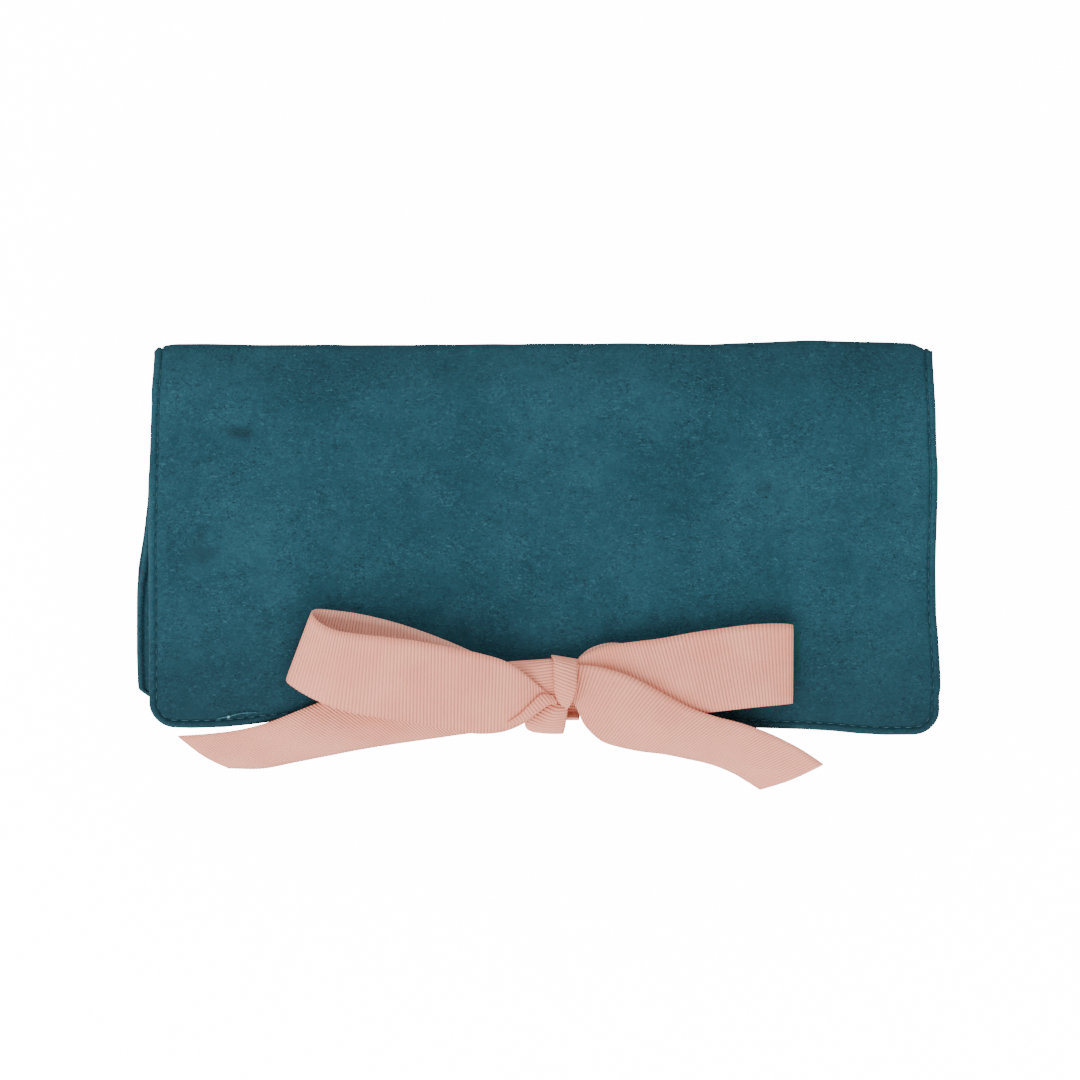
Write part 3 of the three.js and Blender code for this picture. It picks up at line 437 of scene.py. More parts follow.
def ribbon_material():
    material, tree, shader = new_material(
        "pink grosgrain",
        colour(0.87, 0.64, 0.57),
        0.62,
        Sheen_Weight=0.1,
        Sheen_Roughness=0.45,
        Sheen_Tint=colour(0.98, 0.85, 0.8),
        Specular_IOR_Level=0.3,
    )
    across, along = cloth_place(tree)
    corded = use_group(tree, cords, {"Along": along, "Pitch": RIB_PITCH * MM})
    place = object_place(tree)
    threads = speckle(tree, place, 0.35, 2.0, 0.5)
    cloudy = span(tree, speckle(tree, place, 11.0, 3.0, 0.55), 0.35, 0.65)
    own_dye = mixed(tree, cloudy, colour(0.911, 0.546, 0.444), colour(0.925, 0.587, 0.486))
    # A face marked by the shift gets a paler colour: painted light in the shade inside the loops
    turned = sums(tree, "GREATER_THAN", across, PAINTED_PALE_SHIFT / 2 * MM)
    dyed = mixed(tree, turned, own_dye, colour(0.874, 0.606, 0.532))
    # Painted shade in the grooves between the ribs, patchy in strength
    patchy = span(tree, speckle(tree, place, 14.0, 2.0, 0.5), 0.35, 0.65, 0.35, 0.8)
    groove = sums(tree, "MULTIPLY", corded.outputs["Groove"], patchy)
    shaded = mixed(tree, groove, dyed, colour(0.585, 0.335, 0.265))
    flecked = mixed(tree, span(tree, threads, 0.35, 0.75, 0.0, 0.16), shaded, colour(0.879, 0.74, 0.685))
    height = sums(tree, "ADD", corded.outputs["Rise"], sums(tree, "MULTIPLY", threads, 0.2))
    feed(tree, shader, {"Base Color": flecked, "Normal": bump(tree, height, 0.8, 0.25)})
    return material


def satin_material():
    material, tree, shader = new_material(
        "peach satin",
        colour(0.85, 0.62, 0.56),
        0.42,
        Sheen_Weight=0.166,
        Sheen_Roughness=0.35,
        Sheen_Tint=colour(1.0, 0.9, 0.86),
        Specular_IOR_Level=0.45,
    )
    place = object_place(tree)
    soft = span(tree, speckle(tree, place, 24.0, 3.0, 0.5), 0.35, 0.65)
    drawn = put(tree, "ShaderNodeMapping", {0: place, 3: (0.08, 1.0, 1.0)}).outputs[0]
    threads = speckle(tree, drawn, 0.3, 2.0, 0.5)
    dyed = mixed(tree, soft, colour(0.74, 0.518, 0.463), colour(0.814, 0.61, 0.555))
    # Painted glints: a lighter colour on part of the threads
    glint = mixed(tree, span(tree, threads, 0.3, 0.7, 0.0, 0.3), dyed, colour(0.87, 0.72, 0.666))
    gloss = span(tree, threads, 0.3, 0.7, 0.34, 0.5)
    feed(tree, shader, {"Base Color": glint, "Roughness": gloss, "Normal": bump(tree, threads, 0.25, 0.12)})
    return material


def zip_tape_material():
    material, tree, shader = new_material(
        "woven zip tape", colour(0.14, 0.34, 0.4), 0.75, Specular_IOR_Level=0.25
    )
    across, along = cloth_place(tree)
    slant = sums(tree, "ADD", along, sums(tree, "ABSOLUTE", across))
    weave = use_group(tree, cords, {"Along": slant, "Pitch": WEAVE_PITCH * MM})
    threads = speckle(tree, object_place(tree), 0.3, 2.0, 0.5)
    dyed = mixed(tree, span(tree, threads, 0.3, 0.7), colour(0.1, 0.256, 0.302), colour(0.155, 0.357, 0.412))
    shaded = mixed(tree, weave.outputs["Groove"], dyed, colour(0.045, 0.137, 0.165))
    feed(tree, shader, {"Base Color": shaded, "Normal": bump(tree, weave.outputs["Rise"], 0.8, 0.15)})
    return material


def thread_material(name, dark, light):
    material, tree, shader = new_material(name, light, 0.55, Specular_IOR_Level=0.35)
    twist = speckle(tree, object_place(tree), 0.4, 2.0, 0.6, 0.5)
    dyed = mixed(tree, span(tree, twist, 0.35, 0.65), dark, light)
    feed(tree, shader, {"Base Color": dyed, "Normal": bump(tree, twist, 0.6, 0.1)})
    return material


def brass_material():
    material, tree, shader = new_material("satin brass", colour(0.83, 0.66, 0.38), 0.3, Metallic=1.0)
    place = object_place(tree)
    drawn = put(tree, "ShaderNodeMapping", {0: place, 3: (0.15, 1.0, 1.0)}).outputs[0]
    scratches = speckle(tree, drawn, 0.25, 3.0, 0.6)
    tarnish = span(tree, speckle(tree, place, 2.6, 4.0, 0.65), 0.45, 0.72, 0.0, 0.55)
    patchy = mixed(tree, tarnish, colour(0.84, 0.68, 0.4), colour(0.62, 0.45, 0.22))
    gloss = span(tree, scratches, 0.3, 0.7, 0.2, 0.46)
    feed(tree, shader, {"Base Color": patchy, "Roughness": gloss, "Normal": bump(tree, scratches, 0.12, 0.05)})
    return material


velvet = velvet_material()
grosgrain = ribbon_material()
satin = satin_material()
zip_tape = zip_tape_material()
thread = thread_material("teal thread", colour(0.055, 0.174, 0.21), colour(0.128, 0.311, 0.357))
loose_thread = thread_material("loose teal thread", colour(0.11, 0.293, 0.339), colour(0.22, 0.421, 0.458))
pale_thread = thread_material("pale thread end", colour(0.311, 0.494, 0.531), colour(0.478, 0.644, 0.672))
brass = brass_material()


# Velvet halves: each is one padded slab that bends over the fold and down to the middle of the spine

# How far in from the outline of a half its lines of points lie, closest at its seam, in millimetres
EDGE_OFFSETS = np.array(
    [0, 0.12, 0.35, 0.7, 1.1, 1.5, 1.8, 2.05, 2.2, 2.35, 2.5, 2.65, 2.9]
    + [3.4, 4.0, 4.8, 5.8, 7.0, 7.6, 8.5, 10.2]
)
LINING_INSET = 8.5
LINING_START = int(np.argmax(EDGE_OFFSETS >= LINING_INSET))
MIDDLE_COLUMNS = 130
FLAT_ROWS = 72
ARC_ROWS = 12
SPINE_ROWS = 7
FLAT_REACH = HINGE_Y - FREE_EDGE_Y
# The stitched edge and the crown, by how far in from the outline they start or end
RIM_ROUND = 1.4
GROOVE_DEPTH = 0.75
GROOVE_HALF = 0.42
PUFF_END = 7.5
CROWN_START = 5.0
CROWN_END = 28.0
CROWN_FADE = 30.0
TRAY_SLOPE = 0.8
# The velvet waves where a half is thicker than the first of these, and fully past the second
WAVE_THICK = (0.4, 3.0)
# How high its broad waves and its small ones are, and how far across
BROAD_WAVE = 0.3
BROAD_WAVE_SIZE = 21.0
SMALL_WAVE = 0.16
SMALL_WAVE_SIZE = 8.0
# The fold, how far before a hinge and past it the cloth bends, and the gap that is welded
FOLD_TIGHT = 1.0
FOLD_DROP = 0.7
FOLD_REACH = 11.0
FOLD_SHARE = 0.8
INNER_SETBACK = 3.6
PULL_REACH = 16.0
HALF_WELD = 0.001
# The satin's height over its bed, its share of thickness at the hem, and its puckers
SATIN_GAP = 0.05
SATIN_RISE = 0.08
HEM_SHARE = 0.4
PUCKER_HEIGHT = 0.1
PUCKER_SIZE = 11.0
PUCKER_SEED = 31

# The edges of a half: left and right by the share of the way to the fold, and how far the free edge and
# the fold are moved along Y, by X
Outline = namedtuple("Outline", "left right free fold")


def swell(inside, crown):
    """Half thickness of a stitched padded half, at a distance inside its outline."""
    rim = RIM_HALF * np.sqrt(np.clip(1 - (1 - np.clip(inside / RIM_ROUND, 0, 1)) ** 2, 0, 1))
    groove = -GROOVE_DEPTH * np.exp(-(((inside - SEAM_INSET) / GROOVE_HALF) ** 2))
    puff = (HALF_THICK - RIM_HALF) * smooth(SEAM_INSET, PUFF_END, inside)
    return rim + groove + puff + crown * smooth(CROWN_START, CROWN_END, inside)


def edge_line(places, values):
    return lambda v: np.interp(v, places, values)


def cloth_wave(points, seed):
    """Broad waves and small ones in the velvet."""
    broad = BROAD_WAVE * ripple(points, BROAD_WAVE_SIZE, seed)
    return broad + SMALL_WAVE * ripple(points, SMALL_WAVE_SIZE, seed + 3)


def outer_y(outline, x, s):
    """Where the outer face lies along Y, at a distance from the free edge."""
    share = s / FLAT_REACH
    moved = outline.free(x) * (1 - share) + outline.fold(x) * smooth(FOLD_SHARE, 1.0, share)
    return FREE_EDGE_Y + s + moved


def fold_drop(s):
    """How far the outer face comes down towards the fold."""
    return FOLD_DROP * smooth(FOLD_REACH, 0, FLAT_REACH - s)


def padded_half(name, mirror, outline, crown, seed):
    """A padded half with its fold. mirror is 1 for the flap, and -1 for the back half, which is face down."""
    near = EDGE_OFFSETS
    flat = np.concatenate([near, np.linspace(near[-1], FLAT_REACH, FLAT_ROWS)[1:]])
    arc = np.linspace(0, math.pi / 2, ARC_ROWS)[1:]
    spine = np.linspace(0, UPPER_HINGE_Z - SPINE_MID_Z, SPINE_ROWS)[1:]
    # By row: how far from the free edge, how far round the fold and how far down the spine
    s = np.concatenate([flat, np.full(len(arc) + len(spine), FLAT_REACH)])[:, None]
    turn = np.concatenate([0 * flat, arc, np.full(len(spine), math.pi / 2)])[:, None]
    down = np.concatenate([0 * flat, 0 * arc, spine])[:, None]
    inset = CORNER_RADIUS - np.sqrt(CORNER_RADIUS**2 - np.maximum(CORNER_RADIUS - s, 0) ** 2)
    left = outline.left(s / FLAT_REACH) + inset
    right = outline.right(s / FLAT_REACH) - inset
    shares = np.linspace(0, 1, MIDDLE_COLUMNS + 2)[1:-1]
    middle = left + near[-1] + (right - left - 2 * near[-1]) * shares
    x = np.concatenate([left + near, middle, right - near[::-1]], axis=1)
    side = np.minimum(x - (left - inset), (right + inset) - x)
    bend = (side < CORNER_RADIUS) & (s < CORNER_RADIUS)
    round_in = CORNER_RADIUS - np.hypot(CORNER_RADIUS - side, CORNER_RADIUS - s)
    inside = np.maximum(np.where(bend, round_in, np.minimum(side, s)), 0)
    high = swell(inside, crown * smooth(0, CROWN_FADE, FLAT_REACH - s))
    tray = TRAY_DEPTH * smooth(FACING_WIDTH, FACING_WIDTH + TRAY_SLOPE, inside)
    low = np.minimum(high, HALF_THICK) - tray
    y_out = outer_y(outline, x, s) + high * np.sin(turn)
    z_out = UPPER_HINGE_Z + (high - fold_drop(s)) * np.cos(turn) - down
    pulled = outline.free(x) * (1 - smooth(0, PULL_REACH, s))
    y_flat = FREE_EDGE_Y + s * (FLAT_REACH - INNER_SETBACK) / FLAT_REACH + pulled
    y_in = np.where(turn > 0, HINGE_Y - low - FOLD_TIGHT * (1 - np.sin(turn)), y_flat)
    corner_z = UPPER_HINGE_Z - low - FOLD_TIGHT
    to_middle = (SPINE_MID_Z - corner_z) * down / (UPPER_HINGE_Z - SPINE_MID_Z)
    z_in = corner_z + FOLD_TIGHT * np.cos(turn) + to_middle
    outer = points_at(x, y_out, z_out)
    inner = points_at(x, y_in, z_in)
    normal = grid_normals(outer)
    normal *= np.sign(normal[len(flat) // 2, x.shape[1] // 2, 2])
    thick = np.linalg.norm(outer - inner, axis=2)
    outer = outer + normal * (cloth_wave(outer, seed) * smooth(*WAVE_THICK, thick))[..., None]
    if mirror < 0:
        outer[..., 2] = np.maximum(TOTAL_THICK - outer[..., 2], 0.0)
        inner[..., 2] = TOTAL_THICK - inner[..., 2]
    return shell(name, outer, inner, weld=HALF_WELD), inner


def dress_half(piece, material, nodes):
    """Dresses a cloth that follows its half of the roll, and turns over the hinge onto the spine."""
    piece.data.materials.append(material)
    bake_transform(piece)
    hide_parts(*nodes)


def velvet_half(body, mirror, outline, crown, seed, fill, *nodes):
    piece, inner = padded_half(body + "_velvet", mirror, outline, crown, seed)
    dress_half(piece, velvet, nodes)
    return inner


def lining(body, mirror, inner, *nodes):
    """The satin inside a half, sunk in the tray that its velvet facing leaves."""
    bed = inner[LINING_START:, LINING_START:-LINING_START]
    normal = grid_normals(bed)
    normal *= -mirror * np.sign(normal[len(bed) // 3, bed.shape[1] // 2, 2])
    full = np.tile(thin_edges(bed.shape[1], HEM_SHARE), (len(bed), 1))
    full[0] = HEM_SHARE
    puckers = PUCKER_HEIGHT * ripple(bed, PUCKER_SIZE, PUCKER_SEED)
    lift = SATIN_RISE + (SATIN_THICK + puckers) * full
    piece = shell(body + "_satin", bed + normal * lift[..., None], bed + normal * SATIN_GAP)
    dress_half(piece, satin, nodes)


flap_outline = Outline(
    edge_line([0, 0.06, 0.5, 0.8, 0.9, 1], [-120.6, -121.0, -121.2, -120.6, -120.2, -119.4]),
    edge_line(
        [0, 0.05, 0.1, 0.12, 0.15, 0.25, 0.31, 0.44, 0.5, 0.63, 0.69, 0.76, 0.85, 0.95, 1],
        [120.2, 120.6, 120.5, 121, 120.9, 120.2, 119.6, 119.4]
        + [119.6, 120.1, 120.2, 119.8, 119.4, 118.8, 118.5],
    ),
    edge_line(
        [-120, -108, -98, -90, -84, -70, -40, -16, -2, 4, 13, 20, 34, 48, 60, 80, 88, 96, 104, 116],
        [0.1, -0.2, 0.1, 0.9, 1.7, 2.6, 3, 3.8, 5.2, 5.6, 5.6, 4.6, 2, 0.4, 0, -0.6, -1.1, -1.9, -2.3, -2.2],
    ),
    edge_line(
        [-120, -116, -105, -40, 0, 30, 50, 85, 105, 113, 117],
        [-1.7, -0.8, -0.9, -0.9, -0.5, -0.6, -0.8, 0.4, -0.1, -0.5, -1.9],
    ),
)
back_outline = Outline(
    edge_line(
        [0, 0.12, 0.2, 0.31, 0.38, 0.47, 0.58, 0.74, 0.87, 1],
        [-125.4, -125.9, -126.2, -126.2, -125.7, -124.2, -122.9, -121.9, -121.2, -120.2],
    ),
    edge_line([0, 1], [114.5, 118.6]),
    edge_line(
        [-126, -119, -108, -80, -40, -16, -4, 4, 14, 22, 40, 120],
        [7.8, 7.4, 5.2, 3.6, 3.2, 4, 5.4, 5.9, 5.9, 4.8, 2.6, 2.6],
    ),
    edge_line([-118, 0, 117], [-1.2, -0.7, -1.2]),
)
FLAP_SEED = 2
BACK_SEED = 11
FLAP_CROWN = FLAP_TOP_Z - TOTAL_THICK
BACK_CROWN = 0.0
FLAP_FILL = 0.5
BACK_FILL = 0.4

flap_inner = velvet_half(
    "flap", 1, flap_outline, FLAP_CROWN, FLAP_SEED, FLAP_FILL, "flap_cover", "flap_padding", "spine_cover"
)
back_inner = velvet_half(
    "back", -1, back_outline, BACK_CROWN, BACK_SEED, BACK_FILL, "back_cover", "back_padding", "spine_padding"
)
lining("flap", 1, flap_inner, "flap_lining", "spine_lining")
lining("back", -1, back_inner, "back_lining")


# Ribbon

RIBBON_STRIPS = 10
GRID_STEP = 0.6
LEAST_STEPS = 16
LEAST_ROWS = 8
ROWS_IN_RIB = 4
RIB_SINK = 0.6
SELVEDGE_SHARE = 0.7


def smooth_line(points, shares):
    """Points on a centripetal Catmull-Rom curve through the given points, at shares of its spans."""
    points = np.asarray(points, float)
    spans = len(points) - 1
    padded = np.vstack([2 * points[0] - points[1], points, 2 * points[-1] - points[-2]])
    ways = np.diff(padded, axis=0)
    gaps = np.maximum(np.linalg.norm(ways, axis=1) ** 0.5, 1e-4)[:, None]
    slopes = ways / gaps
    tangents = slopes[:-1] - (ways[:-1] + ways[1:]) / (gaps[:-1] + gaps[1:]) + slopes[1:]
    places = np.clip(shares, 0.0, 1.0) * spans
    k = np.minimum(places.astype(int), spans - 1)
    t = (places - k)[:, None]
    start, end = points[k], points[k + 1]
    leave, arrive = tangents[k] * gaps[k + 1], tangents[k + 1] * gaps[k + 1]
    a = 2 * start - 2 * end + leave + arrive
    b = -3 * start + 3 * end - 2 * leave - arrive
    return ((a * t + b) * t + leave) * t + start


def seen(across, down, rise):
    """The point that the camera sees at a pixel of the picture, this far above the flap's outer face."""
    reach = PIXEL_SIZE * (1 - rise * MM / CAMERA_HEIGHT)
    x = CAMERA_X + (across - PHOTO_PIXELS / 2) * reach
    y = CAMERA_Y - (down - PHOTO_PIXELS / 2) * reach
    return np.array([x, y, FLAP_TOP_Z + rise])


def ribbon_grid(ribs):
    """Rows of points across a ribbon. A rib gives both its ends as the camera sees them, and then how far
    its middle stands out, upwards and towards the free edge, in millimetres."""
    lines = [[], [], []]
    for rib in ribs:
        start = seen(*rib[:3])
        end = seen(*rib[3:6])
        lift, sag = (*rib[6:], 0.0, 0.0)[:2]
        lines[0].append(start)
        lines[1].append((start + end) / 2 + np.array([0.0, -sag, lift]))
        lines[2].append(end)
    steps = max(int(lengths_along(lines[1])[-1] / GRID_STEP), LEAST_STEPS)
    edges = [smooth_line(line, np.linspace(0, 1, steps + 1)) for line in lines]
    across = np.linspace(0, 1, RIBBON_STRIPS + 1)
    return np.array([smooth_line([e[i] for e in edges], across) for i in range(steps + 1)])


def even_rows(rows, values, step):
    """Values of a grid at places this far apart along it, and those places."""
    lengths = np.linalg.norm(np.diff(rows, axis=0), axis=2).mean(axis=1)
    along = np.concatenate([[0.0], np.cumsum(lengths)])
    places = np.linspace(0, along[-1], max(int(round(along[-1] / step)), LEAST_ROWS) + 1)
    spread = values.reshape(len(rows), -1)
    found = np.stack([np.interp(places, along, line) for line in spread.T], axis=1)
    return found.reshape(len(places), *values.shape[1:]), places


def ribbed_shell(name, rows, thick):
    """A closed strip of grosgrain along a grid, with round ribs across it on both faces."""
    step = RIB_PITCH / ROWS_IN_RIB
    normal = even_rows(rows, grid_normals(rows), step)[0]
    rows, places = even_rows(rows, rows, step)
    across = grid_measures(rows)[1]
    uvs = np.stack(np.broadcast_arrays(across, places[:, None]), axis=2)
    ribs = RIB_HEIGHT * (np.abs(np.sin(places / RIB_PITCH * math.pi)) - RIB_SINK)
    lift = (thick / 2 * thin_edges(rows.shape[1], SELVEDGE_SHARE) + ribs[:, None])[..., None]
    return shell(name, rows + normal * lift, rows - normal * lift, uvs), rows


def paint_loop_inside_paler(piece, behind):
    """Marks one face of a ribbon, the one inside its loop, for a paler colour: painted light in the loop's
    shade. It does so by places across the cloth beyond its width.
    """
    half = len(piece.data.vertices) // 2
    layer = piece.data.uv_layers["cloth"].data
    for loop in piece.data.loops:
        if (loop.vertex_index >= half) == behind:
            layer[loop.index].uv[0] += PAINTED_PALE_SHIFT * MM


def ribbon_piece(node, ribs, body="bow", nodes=None):
    """A ribbon named after its node. nodes lists what it replaces, where that isn't just its node."""
    piece, rows = ribbed_shell(node + "_ribbon", ribbon_grid(ribs), RIBBON_THICK)
    dress(piece, grosgrain, "ribbon", body, *([node] if nodes is None else nodes))
    return piece


# Bow: the ribs of each ribbon, from one end of it to the other

left_loop = ribbon_piece("bow_left_loop", [
    (558, 700, 6.2, 557, 704, 5.8),
    (549, 694, 7.6, 549, 705, 6.2),
    (538, 685, 9.0, 539, 712, 6.8),
    (524, 673, 11.0, 525, 722.5, 7.3, 0.4),
    (506, 661.5, 12.9, 504, 731.5, 7.8, 0.6),
    (480, 653.5, 14.6, 478, 733.8, 8.9, 0.6),
    (447, 646.5, 16.0, 446, 729, 10.4, 0.4),
    (414.5, 640.5, 16.8, 413, 723, 11.3),
    (382, 636.5, 17.0, 378, 717.5, 11.5),
    (355, 633.5, 16.8, 346, 711.5, 11.0),
    (334, 629.5, 16.0, 318, 701, 9.6),
    (318, 621, 14.8, 297, 689.5, 7.6),
    (312, 613, 13.0, 286.8, 681, 5.2),
    (316, 609.5, 10.0, 290, 677, 2.8),
    (335, 610.5, 7.8, 314, 684, 1.9),
    (362, 614.5, 6.8, 351, 694, 1.6),
    (400, 624, 6.2, 395, 704, 1.8),
    (440, 638, 5.6, 437, 712, 2.2),
    (478, 654.5, 5.0, 476, 716, 2.6),
    (512, 673, 4.4, 512, 712, 3.0),
    (540, 690, 3.8, 540, 706, 3.2),
    (551, 697, 3.4, 551, 704, 3.2),
])
paint_loop_inside_paler(left_loop, True)

ribbon_piece("bow_left_turn", [
    (553, 695.5, 8.0, 557, 702.5, 8.0),
    (541.5, 694.5, 9.2, 549.5, 704, 9.0, 0.5),
    (530.5, 704, 9.6, 537, 712.5, 8.9, 0.6),
    (519, 714.5, 9.5, 523.5, 720.5, 8.6, 0.5),
    (507, 722.5, 9.2, 508.5, 725.5, 8.6),
], nodes=[])

right_loop = ribbon_piece("bow_right_loop", [
    (573, 662, 5.0, 573, 678, 4.6),
    (590, 651.5, 6.2, 594, 690, 5.0),
    (608, 645.5, 7.0, 622, 702, 5.6),
    (632, 642, 7.6, 652, 712, 6.0, 0.3),
    (660, 638.5, 8.0, 682, 715, 6.4, 0.5),
    (690, 633, 8.2, 708, 712.5, 6.8, 0.5),
    (720, 628.5, 8.4, 735, 709.5, 7.0, 0.3),
    (750, 624.7, 8.4, 760, 706.8, 7.0),
    (775, 623.5, 7.6, 779, 705, 6.2),
    (789, 624, 6.2, 789, 703.8, 5.0),
    (792.5, 625, 4.6, 792, 703.5, 3.6),
    (786, 625.5, 3.2, 785, 704, 2.4),
    (765, 627, 2.6, 764, 706, 1.8),
    (735, 630, 2.4, 733, 709, 1.6),
    (700, 634, 2.4, 698, 712, 1.6),
    (660, 640, 2.8, 658, 712, 1.8),
    (632, 643.5, 3.6, 630, 705, 2.2),
    (608, 643, 4.6, 606, 694, 2.6),
    (590, 648.5, 4.6, 589, 684, 2.8),
    (579, 657, 4.2, 579, 676, 3.0),
])
paint_loop_inside_paler(right_loop, False)

ribbon_piece("bow_left_tail", [
    (547, 695, 1.0, 553, 706, 1.0),
    (510, 690, 1.2, 528, 721, 1.0),
    (465, 686, 1.4, 500, 730, 0.8),
    (420, 687, 1.4, 468, 733.5, -1.0, 1.2),
    (375, 690, 1.4, 432, 738.5, -3.2, 2.2),
    (335, 697, 1.4, 398, 743.3, -4.8, 2.6),
    (300, 710, 1.2, 362, 749, -7.2, 2.8),
    (270, 722, 0.4, 328, 755.5, -11.2, 2.2),
    (240, 730, -1.8, 295, 762, -17.2, 1.2),
    (210, 734, -3.4, 262, 768.2, -21.6, 0.6, 0.5),
    (178, 736.2, -4.8, 229, 768, -23.6, 0.4, 1.0),
])

ribbon_piece("bow_right_tail", [
    (573, 663, 6.0, 572, 695, 5.4),
    (580, 664.5, 6.8, 574, 702, 6.0, 0.3),
    (594, 666, 8.2, 578.5, 712, 6.8, 0.6),
    (610, 669.5, 9.3, 583.5, 723.5, 6.8, 0.8),
    (628, 675.5, 9.8, 591.5, 733, 6.0, 1.0),
    (647, 684.5, 9.8, 602.5, 741.5, 4.8, 1.4),
    (667, 695.5, 9.4, 619, 746.8, 2.2, 2.0),
    (690, 707.5, 8.8, 641, 751.2, -0.8, 2.4),
    (715, 716.5, 7.6, 664, 754.0, -2.4, 2.4),
    (742, 723.6, 5.6, 688, 758.8, -5.0, 2.2),
    (768, 733, 3.4, 711, 764.2, -8.6, 1.8),
    (793, 745, 0.8, 733, 773, -12.4, 1.4),
    (809, 754.5, -1.8, 747.5, 781.5, -15.8, 1.0, 0.4),
    (823.4, 764.5, -4.6, 760, 789.5, -18.4, 0.6, 0.7),
])

ribbon_piece("bow_knot_fold", [
    (513, 672, 2.6, 556, 670, 2.6),
    (508, 664, 3.6, 557, 660.8, 3.6),
    (507, 662.8, 5.2, 557.5, 659.3, 5.4),
    (512, 668, 6.8, 558, 662.5, 7.0),
    (521, 677.5, 7.2, 558.5, 672, 7.8),
    (533, 687, 7.0, 558.5, 682.5, 7.8),
    (544, 694.5, 6.6, 558.5, 692, 7.0),
    (551, 699.5, 6.2, 558.5, 698.5, 6.4),
], nodes=["bow_knot_core", "bow_knot_fold"])

ribbon_piece("bow_knot_wrap", [
    (577, 664, 1.6, 555, 660, 1.6),
    (577.5, 660.3, 4.0, 551.5, 656.5, 4.0, 0.2),
    (577.5, 661, 6.6, 551.5, 656, 6.4, 0.5),
    (577, 667.5, 8.8, 553.3, 660.5, 8.6, 0.8),
    (577, 682, 9.6, 553.5, 673, 9.4, 0.9),
    (575.5, 693, 9.2, 554, 684.5, 9.2, 0.8),
    (572.5, 701, 8.2, 555.3, 695, 8.6, 0.5),
    (569.5, 706, 7.0, 559.2, 702.6, 7.6, 0.2),
    (567.5, 708.3, 5.8, 565, 707, 6.2),
])

ribbon_piece("bow_front_strand", [
    (553, 699, 4.6, 568, 703, 5.0),
    (546, 706.5, 5.6, 567.5, 710, 5.8, 0.6, 0.8),
    (535, 714.5, 5.0, 566.5, 718.5, 5.0, 0.9, 1.2),
    (525, 722.5, 3.4, 565, 727.5, 3.4, 1.0, 1.0),
    (527, 728.5, 1.0, 563.5, 732.5, 1.0, 0.8, 0.4),
    (532, 731.2, -1.6, 562, 733, -1.8, 0.3, 0.2),
    (536, 731.8, -4.5, 561, 732.8, -4.5),
])

ribbon_piece("back_tie", [
    (537, 730.5, -5.2, 560.5, 731, -5.2),
    (537, 729.5, -9.0, 560.5, 730, -9.0),
    (534, 726.5, -14.0, 561, 726.5, -14.0),
    (527, 719, -18.5, 562, 718, -18.5),
    (524, 707, LOWER_HINGE_Z - FLAP_TOP_Z, 563, 705, LOWER_HINGE_Z - FLAP_TOP_Z),
], body="back")

ribbon_piece("flap_tie", [
    (580, 706, UPPER_HINGE_Z - FLAP_TOP_Z, 566, 706, UPPER_HINGE_Z - FLAP_TOP_Z),
    (580, 713, -5.0, 566, 713, -5.0),
    (579.5, 718, -3.0, 566, 718, -3.0),
    (579.5, 719.2, 0.5, 565.5, 719.2, 0.5),
    (579.5, 718.6, 2.6, 565.5, 718.6, 2.6),
    (579.5, 716.4, 1.6, 565.5, 716.4, 1.6),
    (579.5, 712.5, -0.6, 565, 712.5, -0.6),
    (579.5, 706, -0.6, 564.5, 706, -0.6),
    (579, 697, 0.6, 563, 697, 0.6),
])

# Pockets, in millimetres

FLANGE = 1.5
PLEAT_PITCH = 6.5
PLEAT_DRIFT = 3.0
DRIFT_SIZE = 18.0
PLEAT_HEIGHT = 1.5
SLACK_HEIGHT = 1.6
SLACK_SIZE = 26.0
PANEL_REACH_X = 9.0
PANEL_REACH_LOW = 10.0
PANEL_REACH_HIGH = 3.5
PANEL_ROOM = 0.2
LOW_SEAM_INSET = 3.0
SLOT_HALF_X = 95.0
SLOT_LOW_Y = -7.0
SLOT_HIGH_Y = 0.0
EDGE_SLACK = 1.6
DRAWN_REACH = 30.0
BINDING_THICK = 0.4
MOUTH_INSET = 0.4

zip_low, zip_high = node_box("zip_pocket_panel")
slip_low, slip_high = node_box("slip_pocket_panel")
POCKET_LOW_Y = zip_low[1] + LOW_SEAM_INSET
ZIP_PANEL_RISE = zip_high[2] - zip_low[2] - PANEL_ROOM
SLIP_PANEL_RISE = slip_low[2] - slip_high[2] + PANEL_ROOM


def side_lift(x, half_width):
    """How far a sewn panel stands out between its side seams, from 0 at a seam to 1."""
    return smooth(FLANGE, PANEL_REACH_X, half_width - np.abs(x))


def drawn_in(outline, x):
    """How far the low seam of a pocket gives way where the free edge of its half is pulled in."""
    return np.maximum(outline.free(x) - EDGE_SLACK, 0.0)


